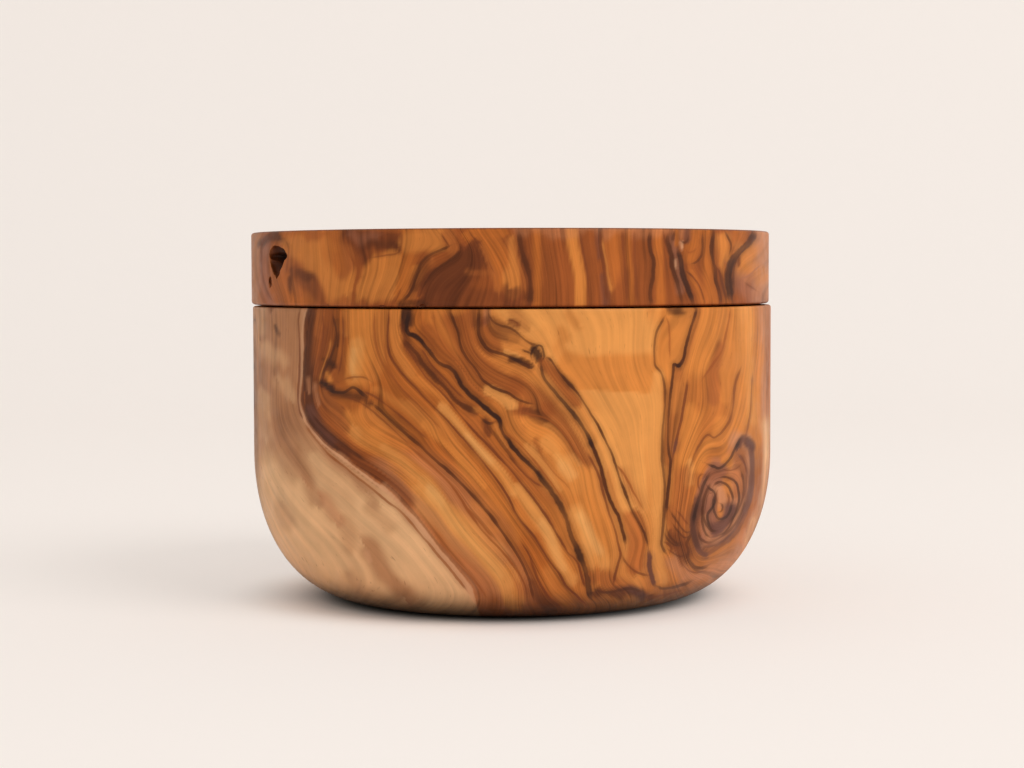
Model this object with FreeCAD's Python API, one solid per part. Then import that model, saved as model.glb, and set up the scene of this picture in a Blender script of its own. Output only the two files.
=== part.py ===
"""Turned olive-wood salt keeper: a deep round bowl under a thick flat lid that swivels sideways.

The lid turns on a steel pin hidden in the bowl's wall at the back, and a pair of disc magnets holds
it shut at the front. Millimetres, +Z up, origin on the resting face under the bowl's axis, front at -Y.
"""

import FreeCAD, Part

import math
import os

Vector = FreeCAD.Vector

# Bowl
body_diameter = 110.0
bowl_height = 61.75
foot_diameter = 65.0            # flat that the bowl rests on
corner_height = 31.0            # where the upright wall starts to curve in towards the foot
corner_fullness = 0.79          # how far the corner's curve fills its square; a quarter ellipse has 0.707
rim_wall = 11.0                 # wall between the outside and the hollow, measured at the rim
floor_thickness = 9.0
hollow_foot_diameter = 50.0     # flat at the bottom of the hollow
hollow_corner_height = 26.0
rim_outer_ease = 0.5
rim_inner_ease = 1.2

# Lid
lid_setback = 0.1               # the lid's edge stands in from the bowl's by this much
lid_thickness = 15.0
lid_top_ease = 0.6
lid_under_ease = 0.7
lid_gap = 0.35                  # open seam between rim and lid, set by the washer on the pin
lid_rest_turn = -0.4            # degrees: the closed lid stands a touch off line, to the left

# Swivel
pin_diameter = 4.0
pin_depth = 22.0                # glued into the bowl's wall
pin_end_room = 1.45             # between the pin's tip and the end of its bore in the lid
pin_end_chamfer = 0.4
sleeve_wall = 1.2
sleeve_cover = 4.05             # wood left over the sleeve, up to the lid's top
washer_diameter = 9.0
groove_width = 0.9
groove_depth = 0.45
groove_from_tip = 1.8           # from the pin's tip to the top of its groove
ring_opening = 50.0             # degrees left open in the snap ring

# Magnets
magnet_diameter = 6.0
magnet_thickness = 3.0
magnet_chamfer = 0.25

# Fits, all radial unless they say otherwise
glue_line = 0.05
running_clearance = 0.04
ring_clearance = 0.08           # all round the snap ring in its two grooves

AXIS = Vector(0, 0, 1)
ELLIPSE_FULLNESS = math.sqrt(0.5)

body_radius = body_diameter / 2
lid_radius = body_radius - lid_setback
hollow_radius = body_radius - rim_wall
rim_middle = body_radius - rim_wall / 2
pivot = Vector(0, rim_middle, 0)
catch = Vector(0, -rim_middle, 0)
lid_underside = bowl_height + lid_gap
lid_top = lid_underside + lid_thickness
sleeve_top = lid_top - sleeve_cover
pin_radius = pin_diameter / 2
sleeve_bore = pin_radius + running_clearance
sleeve_radius = sleeve_bore + sleeve_wall
magnet_radius = magnet_diameter / 2
pin_tip = sleeve_top - pin_end_room
groove_top = pin_tip - groove_from_tip
groove_bottom = groove_top - groove_width
ring_inner = pin_radius - groove_depth + ring_clearance
ring_outer = sleeve_bore + groove_depth
ring_slot_top = groove_top + ring_clearance
ring_slot_bottom = groove_bottom - ring_clearance


def corner_edge(start, corner, end, fullness):
    """Eases a square corner: a quarter round or quarter ellipse, or a conic that fills the square more."""
    leg_in = start - corner
    leg_out = end - corner
    if fullness == ELLIPSE_FULLNESS and abs(leg_in.Length - leg_out.Length) < 1e-9:
        centre = corner + leg_in + leg_out
        middle = centre - (leg_in + leg_out) * ELLIPSE_FULLNESS
        return Part.Arc(start, middle, end).toShape()
    curve = Part.BezierCurve()
    curve.setPoles([start, corner, end])
    curve.setWeight(2, fullness)
    return curve.toShape()


def turned(corners, sweep=360.0):
    """Turns an outline about the Z axis.

    Each corner is (radius, height) or (radius, height, leg, leg): the legs say how far along the
    side before it and the side after it the corner is eased. A fifth value is the curve's fullness.
    """
    points = [Vector(c[0], 0, c[1]) for c in corners]
    legs = [c[2:4] or (0.0, 0.0) for c in corners]
    fullness = [c[4] if len(c) > 4 else ELLIPSE_FULLNESS for c in corners]
    starts = []
    ends = []
    for i, point in enumerate(points):
        to_previous = (points[i - 1] - point).normalize()
        to_next = (points[(i + 1) % len(points)] - point).normalize()
        starts.append(point + to_previous * legs[i][0])
        ends.append(point + to_next * legs[i][1])
    edges = []
    for i, point in enumerate(points):
        if legs[i][0] > 0:
            edges.append(corner_edge(starts[i], point, ends[i], fullness[i]))
        edges.append(Part.LineSegment(ends[i], starts[(i + 1) % len(points)]).toShape())
    face = Part.Face(Part.Wire(edges))
    return face.revolve(Vector(0, 0, 0), AXIS, sweep)


def bore(radius, bottom, top, place):
    """A plain round cutter, upright at a place on the rim."""
    return Part.makeCylinder(radius, top - bottom, place + AXIS * bottom)


def at_rest(shape):
    """Swings a piece of the lid about the pin to where the closed lid stands."""
    swung = shape.copy()
    swung.rotate(pivot, AXIS, lid_rest_turn)
    return swung


def make_bowl():
    """Deep round bowl with an upright wall, a full rounded corner and a rounded hollow."""
    corner_width = body_radius - foot_diameter / 2
    hollow_corner_width = hollow_radius - hollow_foot_diameter / 2
    wood = turned([
        (0.0, 0.0),
        (body_radius, 0.0, corner_width, corner_height, corner_fullness),
        (body_radius, bowl_height, rim_outer_ease, rim_outer_ease),
        (hollow_radius, bowl_height, rim_inner_ease, rim_inner_ease),
        (hollow_radius, floor_thickness, hollow_corner_height, hollow_corner_width),
        (0.0, floor_thickness),
    ])
    pin_hole = bore(pin_radius + glue_line, bowl_height - pin_depth, bowl_height, pivot)
    magnet_seat = bore(magnet_radius + glue_line, bowl_height - magnet_thickness, bowl_height, catch)
    return wood.cut(pin_hole).cut(magnet_seat)


def make_lid():
    """Thick flat disc with eased edges, bored from below for the sleeve and the magnet."""
    wood = turned([
        (0.0, lid_underside),
        (lid_radius, lid_underside, lid_under_ease, lid_under_ease),
        (lid_radius, lid_top, lid_top_ease, lid_top_ease),
        (0.0, lid_top),
    ])
    sleeve_seat = bore(sleeve_radius + glue_line, lid_underside, sleeve_top, pivot)
    magnet_seat = bore(magnet_radius + glue_line, lid_underside, lid_underside + magnet_thickness, catch)
    return at_rest(wood.cut(sleeve_seat).cut(magnet_seat))


def make_pivot_pin():
    """Steel pin, glued into the bowl's wall, with a groove near its tip for the snap ring."""
    groove_radius = pin_radius - groove_depth
    end_radius = pin_radius - pin_end_chamfer
    pin_bottom = bowl_height - pin_depth
    pin = turned([
        (0.0, pin_bottom),
        (end_radius, pin_bottom),
        (pin_radius, pin_bottom + pin_end_chamfer),
        (pin_radius, groove_bottom),
        (groove_radius, groove_bottom),
        (groove_radius, groove_top),
        (pin_radius, groove_top),
        (pin_radius, pin_tip - pin_end_chamfer),
        (end_radius, pin_tip),
        (0.0, pin_tip),
    ])
    pin.translate(pivot)
    return pin


def make_pivot_sleeve():
    """Brass sleeve, glued into the lid, that turns on the pin and traps the snap ring."""
    slot_radius = ring_outer + ring_clearance
    sleeve = turned([
        (sleeve_bore, lid_underside),
        (sleeve_radius, lid_underside),
        (sleeve_radius, sleeve_top),
        (sleeve_bore, sleeve_top),
        (sleeve_bore, ring_slot_top),
        (slot_radius, ring_slot_top),
        (slot_radius, ring_slot_bottom),
        (sleeve_bore, ring_slot_bottom),
    ])
    sleeve.translate(pivot)
    return at_rest(sleeve)


def make_snap_ring():
    """Open spring ring in the pin's groove that keeps the lid from lifting off."""
    ring = turned([
        (ring_inner, groove_bottom + ring_clearance),
        (ring_outer, groove_bottom + ring_clearance),
        (ring_outer, groove_top - ring_clearance),
        (ring_inner, groove_top - ring_clearance),
    ], 360.0 - ring_opening)
    ring.translate(pivot)
    return ring


def make_pivot_washer():
    """Thin washer on the pin that carries the lid and keeps the seam open."""
    bore_radius = pin_radius + running_clearance
    washer = turned([
        (bore_radius, bowl_height),
        (washer_diameter / 2, bowl_height),
        (washer_diameter / 2, lid_underside),
        (bore_radius, lid_underside),
    ])
    washer.translate(pivot)
    return washer


def make_magnet(bottom):
    """Plated disc magnet with chamfered edges."""
    top = bottom + magnet_thickness
    face_radius = magnet_radius - magnet_chamfer
    magnet = turned([
        (0.0, bottom),
        (face_radius, bottom),
        (magnet_radius, bottom + magnet_chamfer),
        (magnet_radius, top - magnet_chamfer),
        (face_radius, top),
        (0.0, top),
    ])
    magnet.translate(catch)
    return magnet


def main():
    pieces = {
        "bowl": make_bowl(),
        "lid": make_lid(),
        "pivot_pin": make_pivot_pin(),
        "pivot_sleeve": make_pivot_sleeve(),
        "snap_ring": make_snap_ring(),
        "pivot_washer": make_pivot_washer(),
        "bowl_magnet": make_magnet(bowl_height - magnet_thickness),
        "lid_magnet": at_rest(make_magnet(lid_underside)),
    }
    os.makedirs("parts", exist_ok=True)
    for name, shape in pieces.items():
        solids = shape.Solids
        if not shape.isValid() or len(solids) != 1:
            raise ValueError(f"{name} isn't one valid solid")
        solids[0].exportStep(f"parts/{name}.step")
        print(name, round(solids[0].Volume, 2), "mm3")


main()
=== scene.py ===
"""Salt keeper turned from olive wood: a deep bowl under a thick flat lid that swivels aside.

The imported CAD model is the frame. The bowl and the lid are turned again here as fine meshes that carry
the wood's figure as point attributes, and the small metal and nylon pieces keep their CAD shapes.
Lengths are in millimetres until they reach a mesh, which is in metres.
"""

import logging
import math
from dataclasses import dataclass
from enum import Enum, IntEnum
from typing import Optional, Sequence

import bpy
import numpy as np
from mathutils import Matrix, Vector


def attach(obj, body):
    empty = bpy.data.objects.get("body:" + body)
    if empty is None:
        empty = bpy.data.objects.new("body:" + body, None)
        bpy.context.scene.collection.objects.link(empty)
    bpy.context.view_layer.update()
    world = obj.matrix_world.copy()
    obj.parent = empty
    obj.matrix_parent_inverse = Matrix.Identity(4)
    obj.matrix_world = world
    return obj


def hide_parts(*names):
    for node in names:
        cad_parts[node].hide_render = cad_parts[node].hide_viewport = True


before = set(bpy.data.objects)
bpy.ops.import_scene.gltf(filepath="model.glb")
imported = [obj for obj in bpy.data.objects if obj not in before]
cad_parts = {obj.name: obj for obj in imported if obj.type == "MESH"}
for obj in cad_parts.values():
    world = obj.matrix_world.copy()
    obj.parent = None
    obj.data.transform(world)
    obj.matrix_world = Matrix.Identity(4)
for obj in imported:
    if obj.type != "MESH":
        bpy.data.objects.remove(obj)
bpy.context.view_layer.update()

log = logging.getLogger("salt_keeper")

MM = 0.001
PIXEL_MM = 0.2                  # what a pixel covers on the keeper's front
FRONT = -90.0                   # degrees round the upright axis: -Y faces the camera
FRONT_SWEEP = math.radians(190.0)   # turnings have finer steps on this much of their front
SMOOTH_ANGLE = math.radians(35.0)   # sharper edges than this stay crisp
SKIN = 0.05                     # points no deeper than this, in millimetres, are on the outside
MERGE_GAP = 0.002 * MM          # points that are nearer than this are one
ELLIPSE_FULLNESS = math.sqrt(0.5)
CHUNK = 16384                   # points that are measured at a time
OFF_PICTURE = -999.0            # column and row of a point that shows nothing that is drawn
Pixel = tuple[float, float]
Spot = tuple[float, float]      # two lengths in millimetres: x and y, or radius and height
Path = tuple[float, ...]        # a column and a row by turns, from point to point


class Seed(IntEnum):
    """Numbers that pick the noises, one for each use."""

    BOWL_DRIFT = 5
    BOWL_SMALL_DRIFT = 6
    SAP_MOTTLE = 8
    FRONT_EDGE = 9
    STREAK = 11
    BLOTCH = 12
    FINE_BLOTCH = 13
    LID_ROAM = 14
    VEIN_SWELL = 15
    BOWL_BANDS = 21


def linear(rgb: Sequence[float]) -> np.ndarray:
    """Turns a display colour into scene light.

    Args:
        rgb: red, green and blue from 0 to 255.

    Returns:
        The same colour in linear values from 0 to 1.
    """
    value = np.asarray(rgb, float) / 255.0
    return np.where(value <= 0.04045, value / 12.92, ((value + 0.055) / 1.055) ** 2.4)


class Tone(Enum):
    """The wood's colours, pale to dark, as they look on a display."""

    CREAM = (220, 164, 122)
    SAP_PALE = (237, 189, 139)
    SAP = (206, 152, 107)
    SAP_SHADE = (170, 113, 73)
    ROSE = (198, 132, 90)
    STRAW = (234, 170, 100)
    HONEY = (225, 151, 78)
    GOLD = (214, 131, 58)
    AMBER = (204, 125, 57)
    ORANGE = (184, 102, 40)
    COPPER = (174, 97, 44)
    RUSSET = (150, 78, 33)
    CHESTNUT = (116, 58, 28)
    MAUVE = (160, 100, 72)
    PLUM = (104, 62, 50)
    UMBER = (80, 40, 19)
    INK = (48, 26, 19)

    @property
    def light(self) -> np.ndarray:
        """The colour in linear values."""
        return linear(self.value)


(CREAM, SAP_PALE, SAP, SAP_SHADE, ROSE, STRAW, HONEY, GOLD, AMBER, ORANGE, COPPER, RUSSET, CHESTNUT, MAUVE,
 PLUM, UMBER, INK) = Tone


@dataclass(frozen=True)
class Vein:
    """A dark or pale line in the wood, drawn through pixels of the 1024 by 768 picture."""

    tone: Tone
    width: float
    path: Path
    ring: Optional[float] = None
    strength: float = 1.0


@dataclass(frozen=True)
class Stroke:
    """A soft patch or band of colour along a path, in pixels of the picture.

    reach and soft give the band's extent and its soft edge on the left and on the right of the path,
    for a path that is drawn from the top down.
    """

    tone: Tone
    path: Path
    reach: tuple[float, float]
    soft: tuple[float, float]
    opacity: float = 1.0


def patch(tone: Tone, path: Path, reach: float, soft: float, opacity: float = 1.0) -> Stroke:
    """Makes a stroke that is the same on both sides of its path."""
    return Stroke(tone, path, (reach, reach), (soft, soft), opacity)


@dataclass(frozen=True)
class Flaw:
    """A knot hole or a nick in the lid's edge.

    size is half its width, depth and height. taper says how much narrower it is at its lower end, from
    0 to 1, and seed picks its uneven form.
    """

    pixel: Pixel
    size: tuple[float, float, float]
    taper: float
    seed: int


@dataclass(frozen=True)
class PictureCamera:
    """The camera at the picture's viewpoint, in millimetres and pixels."""

    distance: float = 467.5
    eye_height: float = 68.7
    aside: float = 0.09
    focal: float = 2184.3
    pitch: float = 0.0513
    roll: float = 0.0027
    width: int = 1024
    height: int = 768
    sensor: float = 36.0
    half_pixel: float = 0.5         # pixel numbers name a pixel's middle, the lens its corner

    def project(self, points: np.ndarray) -> np.ndarray:
        """Finds where points appear in the picture.

        Args:
            points: places in millimetres, one a row.

        Returns:
            Pixel columns and rows, one pair a row.
        """
        ahead = points[:, 1] + self.distance
        above = points[:, 2] - self.eye_height
        depth = ahead * math.cos(self.pitch) - above * math.sin(self.pitch)
        up = above * math.cos(self.pitch) + ahead * math.sin(self.pitch)
        across = self.focal * (points[:, 0] - self.aside) / depth
        down = -self.focal * up / depth
        turned_across = across * math.cos(self.roll) + down * math.sin(self.roll)
        turned_down = down * math.cos(self.roll) - across * math.sin(self.roll)
        return np.stack([self.width / 2 + turned_across, self.height / 2 + turned_down], axis=1)

    def on_cylinder(self, pixel: Pixel, radius: float, centre: Spot) -> np.ndarray:
        """Finds the place on an upright cylinder that a pixel shows.

        Args:
            pixel: column and row in the picture.
            radius: the cylinder's radius.
            centre: where its axis stands.

        Returns:
            The place in millimetres.
        """
        turned_across = (pixel[0] - self.width / 2) / self.focal
        turned_down = (pixel[1] - self.height / 2) / self.focal
        across = turned_across * math.cos(self.roll) - turned_down * math.sin(self.roll)
        up = -(turned_down * math.cos(self.roll) + turned_across * math.sin(self.roll))
        ahead = math.cos(self.pitch) + up * math.sin(self.pitch)
        rise = up * math.cos(self.pitch) - math.sin(self.pitch)
        start = np.array([self.aside - centre[0], -self.distance - centre[1]])
        way = np.array([across, ahead])
        square, half, rest = way @ way, start @ way, start @ start - radius ** 2
        along = (-half - math.sqrt(half ** 2 - square * rest)) / square
        eye = np.array([self.aside, -self.distance, self.eye_height])
        return eye + along * np.array([across, ahead, rise])

    def make(self) -> bpy.types.Object:
        """Adds the camera to the scene and looks through it.

        Returns:
            The camera object.
        """
        data = bpy.data.cameras.new("picture_camera")
        data.sensor_width = self.sensor
        data.lens = self.focal * self.sensor / self.width
        data.clip_start = 0.01
        data.shift_x = -self.half_pixel / self.width
        data.shift_y = self.half_pixel / self.width
        camera = bpy.data.objects.new("picture_camera", data)
        bpy.context.scene.collection.objects.link(camera)
        tilt = Matrix.Rotation(math.pi / 2 - self.pitch, 4, "X") @ Matrix.Rotation(-self.roll, 4, "Z")
        place = Matrix.Translation((self.aside * MM, -self.distance * MM, self.eye_height * MM))
        camera.matrix_world = place @ tilt
        bpy.context.scene.camera = camera
        return camera


CAMERA = PictureCamera()


class CloudNoise:
    """Smooth noise in space from a seeded lattice, the same at every run."""

    def __init__(self, seed: int, size: int = 32) -> None:
        """Fills the lattice."""
        self.size = size
        self.lattice = np.random.default_rng(seed).random((size, size, size))

    def at(self, points: np.ndarray) -> np.ndarray:
        """Reads the noise.

        Args:
            points: places, one a row, where a step of 1 is one cell of the lattice.

        Returns:
            A value from -1 to 1 for each place.
        """
        cell = np.floor(points).astype(int)
        part = points - cell
        part = part * part * (3.0 - 2.0 * part)
        total = np.zeros(len(points))
        for corner in np.ndindex(2, 2, 2):
            index = (cell + corner) % self.size
            share = np.prod(np.where(np.array(corner) == 1, part, 1.0 - part), axis=1)
            total += share * self.lattice[index[:, 0], index[:, 1], index[:, 2]]
        return total * 2.0 - 1.0


def smooth_step(low: float, high: float, value: np.ndarray) -> np.ndarray:
    """Rises smoothly from 0 at low to 1 at high."""
    part = np.clip((value - low) / (high - low), 0.0, 1.0)
    return part * part * (3.0 - 2.0 * part)


def mix(first: np.ndarray, second: np.ndarray, share: np.ndarray) -> np.ndarray:
    """Blends two colours, point by point, by the second one's share from 0 to 1."""
    part = share[:, None]
    return first * (1.0 - part) + second * part


def flowing(path: Path, pieces: int = 5) -> np.ndarray:
    """Draws a smooth line through a path's points.

    Args:
        path: the points, two or more.
        pieces: how many steps go between two of them.

    Returns:
        Points close together along the line, one a row.
    """
    given = np.asarray(path, float).reshape(-1, 2)
    ends = np.vstack([2 * given[0] - given[1], given, 2 * given[-1] - given[-2]])
    line = []
    for before, start, end, after in zip(ends, ends[1:], ends[2:], ends[3:]):
        for t in np.arange(pieces) / pieces:
            slope = (end - before) * t + (2 * before - 5 * start + 4 * end - after) * t ** 2
            bend = (3 * start - before - 3 * end + after) * t ** 3
            line.append(start + 0.5 * (slope + bend))
    return np.vstack(line + [given[-1]])


def measure(pixels: np.ndarray, line: np.ndarray) -> tuple[np.ndarray, np.ndarray]:
    """Measures how far pixels are from a line.

    Args:
        pixels: columns and rows, one pair a row.
        line: points along the line, one a row.

    Returns:
        The distance, which is negative on the left of a line that runs down the picture, and how far
        along the line the nearest place is, from 0 to 1.
    """
    signed = np.zeros(len(pixels))
    along = np.zeros(len(pixels))
    last = len(line) - 1
    for begin in range(0, len(pixels), CHUNK):
        part = slice(begin, begin + CHUNK)
        spots = pixels[part]
        gaps = (line ** 2).sum(axis=1)[None] - 2.0 * spots @ line.T
        nearest = gaps.argmin(axis=1)
        best = np.full(len(spots), np.inf)
        for first in (np.maximum(nearest - 1, 0), np.minimum(nearest, last - 1)):
            way = line[first + 1] - line[first]
            offset = spots - line[first]
            share = (offset * way).sum(axis=1) / np.maximum((way ** 2).sum(axis=1), 1e-9)
            share = np.clip(share, 0.0, 1.0)
            gap = np.hypot(offset[:, 0] - share * way[:, 0], offset[:, 1] - share * way[:, 1])
            side = np.sign(way[:, 1] * offset[:, 0] - way[:, 0] * offset[:, 1] + 1e-12)
            nearer = gap < best
            best = np.where(nearer, gap, best)
            signed[part] = np.where(nearer, gap * side, signed[part])
            along[part] = np.where(nearer, (first + share) / last, along[part])
    return signed, along


class RingField:
    """The wood's growth rings: a smooth number in space that is level along each vein."""

    GIVE = 0.6                  # lets the field pass a little beside its places, for a calmer figure

    def __init__(self, places: np.ndarray, rings: np.ndarray, ease: float = 3.0) -> None:
        """Fits the field.

        Args:
            places: places on veins in millimetres, one a row.
            rings: the ring number at each.
            ease: how rounded the field is at a vein, in millimetres.
        """
        self.places = places
        self.ease = ease
        count, sides = places.shape
        gaps = np.linalg.norm(places[:, None] - places[None], axis=2)
        kernel = np.sqrt(gaps ** 2 + ease ** 2) - self.GIVE * np.eye(count)
        plane = np.hstack([np.ones((count, 1)), places])
        system = np.block([[kernel, plane], [plane.T, np.zeros((sides + 1, sides + 1))]])
        answer = np.linalg.solve(system, np.concatenate([rings, np.zeros(sides + 1)]))
        self.weights = answer[:count]
        self.slope = answer[count:]

    def at(self, places: np.ndarray) -> np.ndarray:
        """Gives the ring number at each place."""
        rings = self.slope[0] + places @ self.slope[1:]
        step = CHUNK // 2
        for start in range(0, len(places), step):
            part = slice(start, start + step)
            squares = (places[part] ** 2).sum(axis=1)[:, None] + (self.places ** 2).sum(axis=1)[None]
            gaps = np.maximum(squares - 2.0 * places[part] @ self.places.T, 0.0)
            rings[part] += np.sqrt(gaps + self.ease ** 2) @ self.weights
        return rings


class Figure:
    """Paints the wood's figure onto a turned piece as point attributes."""

    LAYERS = 8
    WIDEN = 1.3                 # veins are drawn wider by this, for what sharpening takes off their edges
    FADE = 3.2                  # pixels past a vein's edge over which its layer lets go of it
    TIP = 9.0                   # pixels over which a vein thins out to its ends
    BEAT = 17.0                 # pixels from one swelling of a vein to the next
    SWELL = 0.3                 # how much wider a vein gets there
    WANDER = 0.55               # share of its soft edges by which a stroke's outline strays
    MOST_STRAY = 14.0           # pixels of soft edge that count for that at most
    STRAY_ROOM = 0.9            # share of its soft edges that holds every stray
    RAGGED = 1.6                # how strongly streaks roughen a stroke's edge

    def __init__(self, piece: bpy.types.Object, pixels: np.ndarray, rings: np.ndarray) -> None:
        """Takes the piece, the picture's pixel for each point, and each point's ring number."""
        self.piece = piece
        self.pixels = pixels
        self.rings = rings
        self.streak = self._along_rings(Seed.STREAK, 0.55, pixels[:, ::-1] * (0.015, 0.004))
        broad = self._along_rings(Seed.BLOTCH, 0.3, pixels * 0.025)
        self.blotch = broad + 0.6 * self._along_rings(Seed.FINE_BLOTCH, 0.95, pixels * 0.04)

    def _along_rings(self, seed: Seed, rate: float, spots: np.ndarray) -> np.ndarray:
        """Reads noise that is drawn out along the rings."""
        return CloudNoise(seed).at(np.column_stack([self.rings * rate, spots]))

    def paint(self, colour: np.ndarray, strokes: Sequence[Stroke]) -> np.ndarray:
        """Lays strokes over a colour, one after the other.

        Args:
            colour: linear colour of each point, one a row.
            strokes: the strokes in painting order.

        Returns:
            The painted colour.
        """
        painted = colour.copy()
        for stroke in strokes:
            line = flowing(stroke.path)
            far = max(stroke.reach) + max(stroke.soft) + self.STRAY_ROOM * sum(stroke.soft)
            near = self._near(line, far)
            signed, _ = measure(self.pixels[near], line)
            left, right = stroke.reach
            soft_left, soft_right = stroke.soft
            signed = signed + self.blotch[near] * self.WANDER * min(sum(stroke.soft), self.MOST_STRAY)
            inside_left = 1.0 - smooth_step(left - soft_left, left + soft_left, -signed)
            inside_right = 1.0 - smooth_step(right - soft_right, right + soft_right, signed)
            share = np.where(signed < 0, inside_left, inside_right)
            ragged = share + self.RAGGED * self.streak[near] * share * (1.0 - share)
            share = np.clip(ragged, 0.0, 1.0) * stroke.opacity
            painted[near] = mix(painted[near], stroke.tone.light, share)
        return painted

    def plain(self, tone: Tone) -> np.ndarray:
        """Gives one colour for every point, to paint on."""
        return np.tile(tone.light, (len(self.pixels), 1))

    def draw(self, veins: Sequence[Vein], shown: np.ndarray) -> None:
        """Writes the veins into layers that the wood's material sharpens into lines.

        Args:
            veins: the veins of this piece.
            shown: how much of the drawn figure each point shows, from 0 to 1.
        """
        lines = [flowing(vein.path) for vein in veins]
        layers: list[list[int]] = [[] for _ in range(self.LAYERS)]
        for index, vein in enumerate(veins):
            crowd = [self._crowding(index, layer, veins, lines) for layer in layers]
            layers[crowd.index(min(crowd))].append(index)
        for number, layer in enumerate(layers):
            nearest = np.full(len(self.pixels), np.inf)
            across = np.full(len(self.pixels), 9.0)
            ink = np.zeros((len(self.pixels), 4))
            for index in layer:
                self._draw_one(veins[index], lines[index], nearest, across, ink)
            ink[:, 3] *= shown
            self.store(f"vein_{number}", "FLOAT_COLOR", ink)
            self.store(f"across_{number}", "FLOAT", across)

    def _draw_one(self, vein: Vein, line: np.ndarray, nearest: np.ndarray,
                  across: np.ndarray, ink: np.ndarray) -> None:
        """Draws one vein over the points that are nearer to it than to its layer's other veins."""
        half = vein.width * self.WIDEN / 2.0
        near = self._near(line, half + 4.0 * self.FADE)
        signed, along = measure(self.pixels[near], line)
        closer = np.abs(signed) - half < nearest[near]
        chosen = np.flatnonzero(near)[closer]
        signed, along = signed[closer], along[closer]
        length = np.linalg.norm(np.diff(line, axis=0), axis=1).sum()
        run = min(0.35, self.TIP / max(length, 1.0))
        taper = smooth_step(0.0, run, along) * smooth_step(0.0, run, 1.0 - along)
        beat = np.zeros((len(along), 3))
        beat[:, 0] = along * length / self.BEAT
        beat[:, 1] = line[0].sum()
        swell = CloudNoise(Seed.VEIN_SWELL).at(beat)
        hold = 1.0 - smooth_step(half + self.FADE, half + 2.4 * self.FADE, np.abs(signed))
        nearest[chosen] = np.abs(signed) - half
        across[chosen] = signed / (half * (0.35 + 0.65 * taper) * (1.0 + self.SWELL * swell))
        ink[chosen, :3] = vein.tone.light
        thin_out = (0.15 + 0.85 * taper) * (0.9 + 0.2 * np.minimum(swell, 0.5))
        ink[chosen, 3] = vein.strength * hold * thin_out

    def _crowding(self, index: int, layer: list[int], veins: Sequence[Vein],
                  lines: list[np.ndarray]) -> float:
        """Counts how many points of a vein would come too near to others in a layer."""
        crowd = 0.0
        for other in layer:
            room = (veins[index].width + veins[other].width) / 2.0 + 4.8 * self.FADE
            gaps = np.linalg.norm(lines[index][:, None] - lines[other][None], axis=2)
            crowd += float((gaps.min(axis=1) < room).sum())
        return crowd

    def _near(self, line: np.ndarray, far: float) -> np.ndarray:
        """Marks the points within reach of a line's box."""
        low, high = line.min(axis=0) - far, line.max(axis=0) + far
        return np.all((self.pixels > low) & (self.pixels < high), axis=1)

    def keep(self, tone: np.ndarray, traced: np.ndarray) -> None:
        """Writes the colour, the rings and how closely each point follows the picture."""
        self.store("tone", "FLOAT_COLOR", np.column_stack([tone, np.ones(len(tone))]))
        self.store("rings", "FLOAT", self.rings)
        self.store("traced", "FLOAT", traced)

    def store(self, name: str, kind: str, values: np.ndarray) -> None:
        """Writes values to the piece as a point attribute."""
        attribute = self.piece.data.attributes.new(name, kind, "POINT")
        field = {"FLOAT": "value", "FLOAT_COLOR": "color"}[kind]
        attribute.data.foreach_set(field, np.ascontiguousarray(values, np.float32).ravel())


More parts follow.
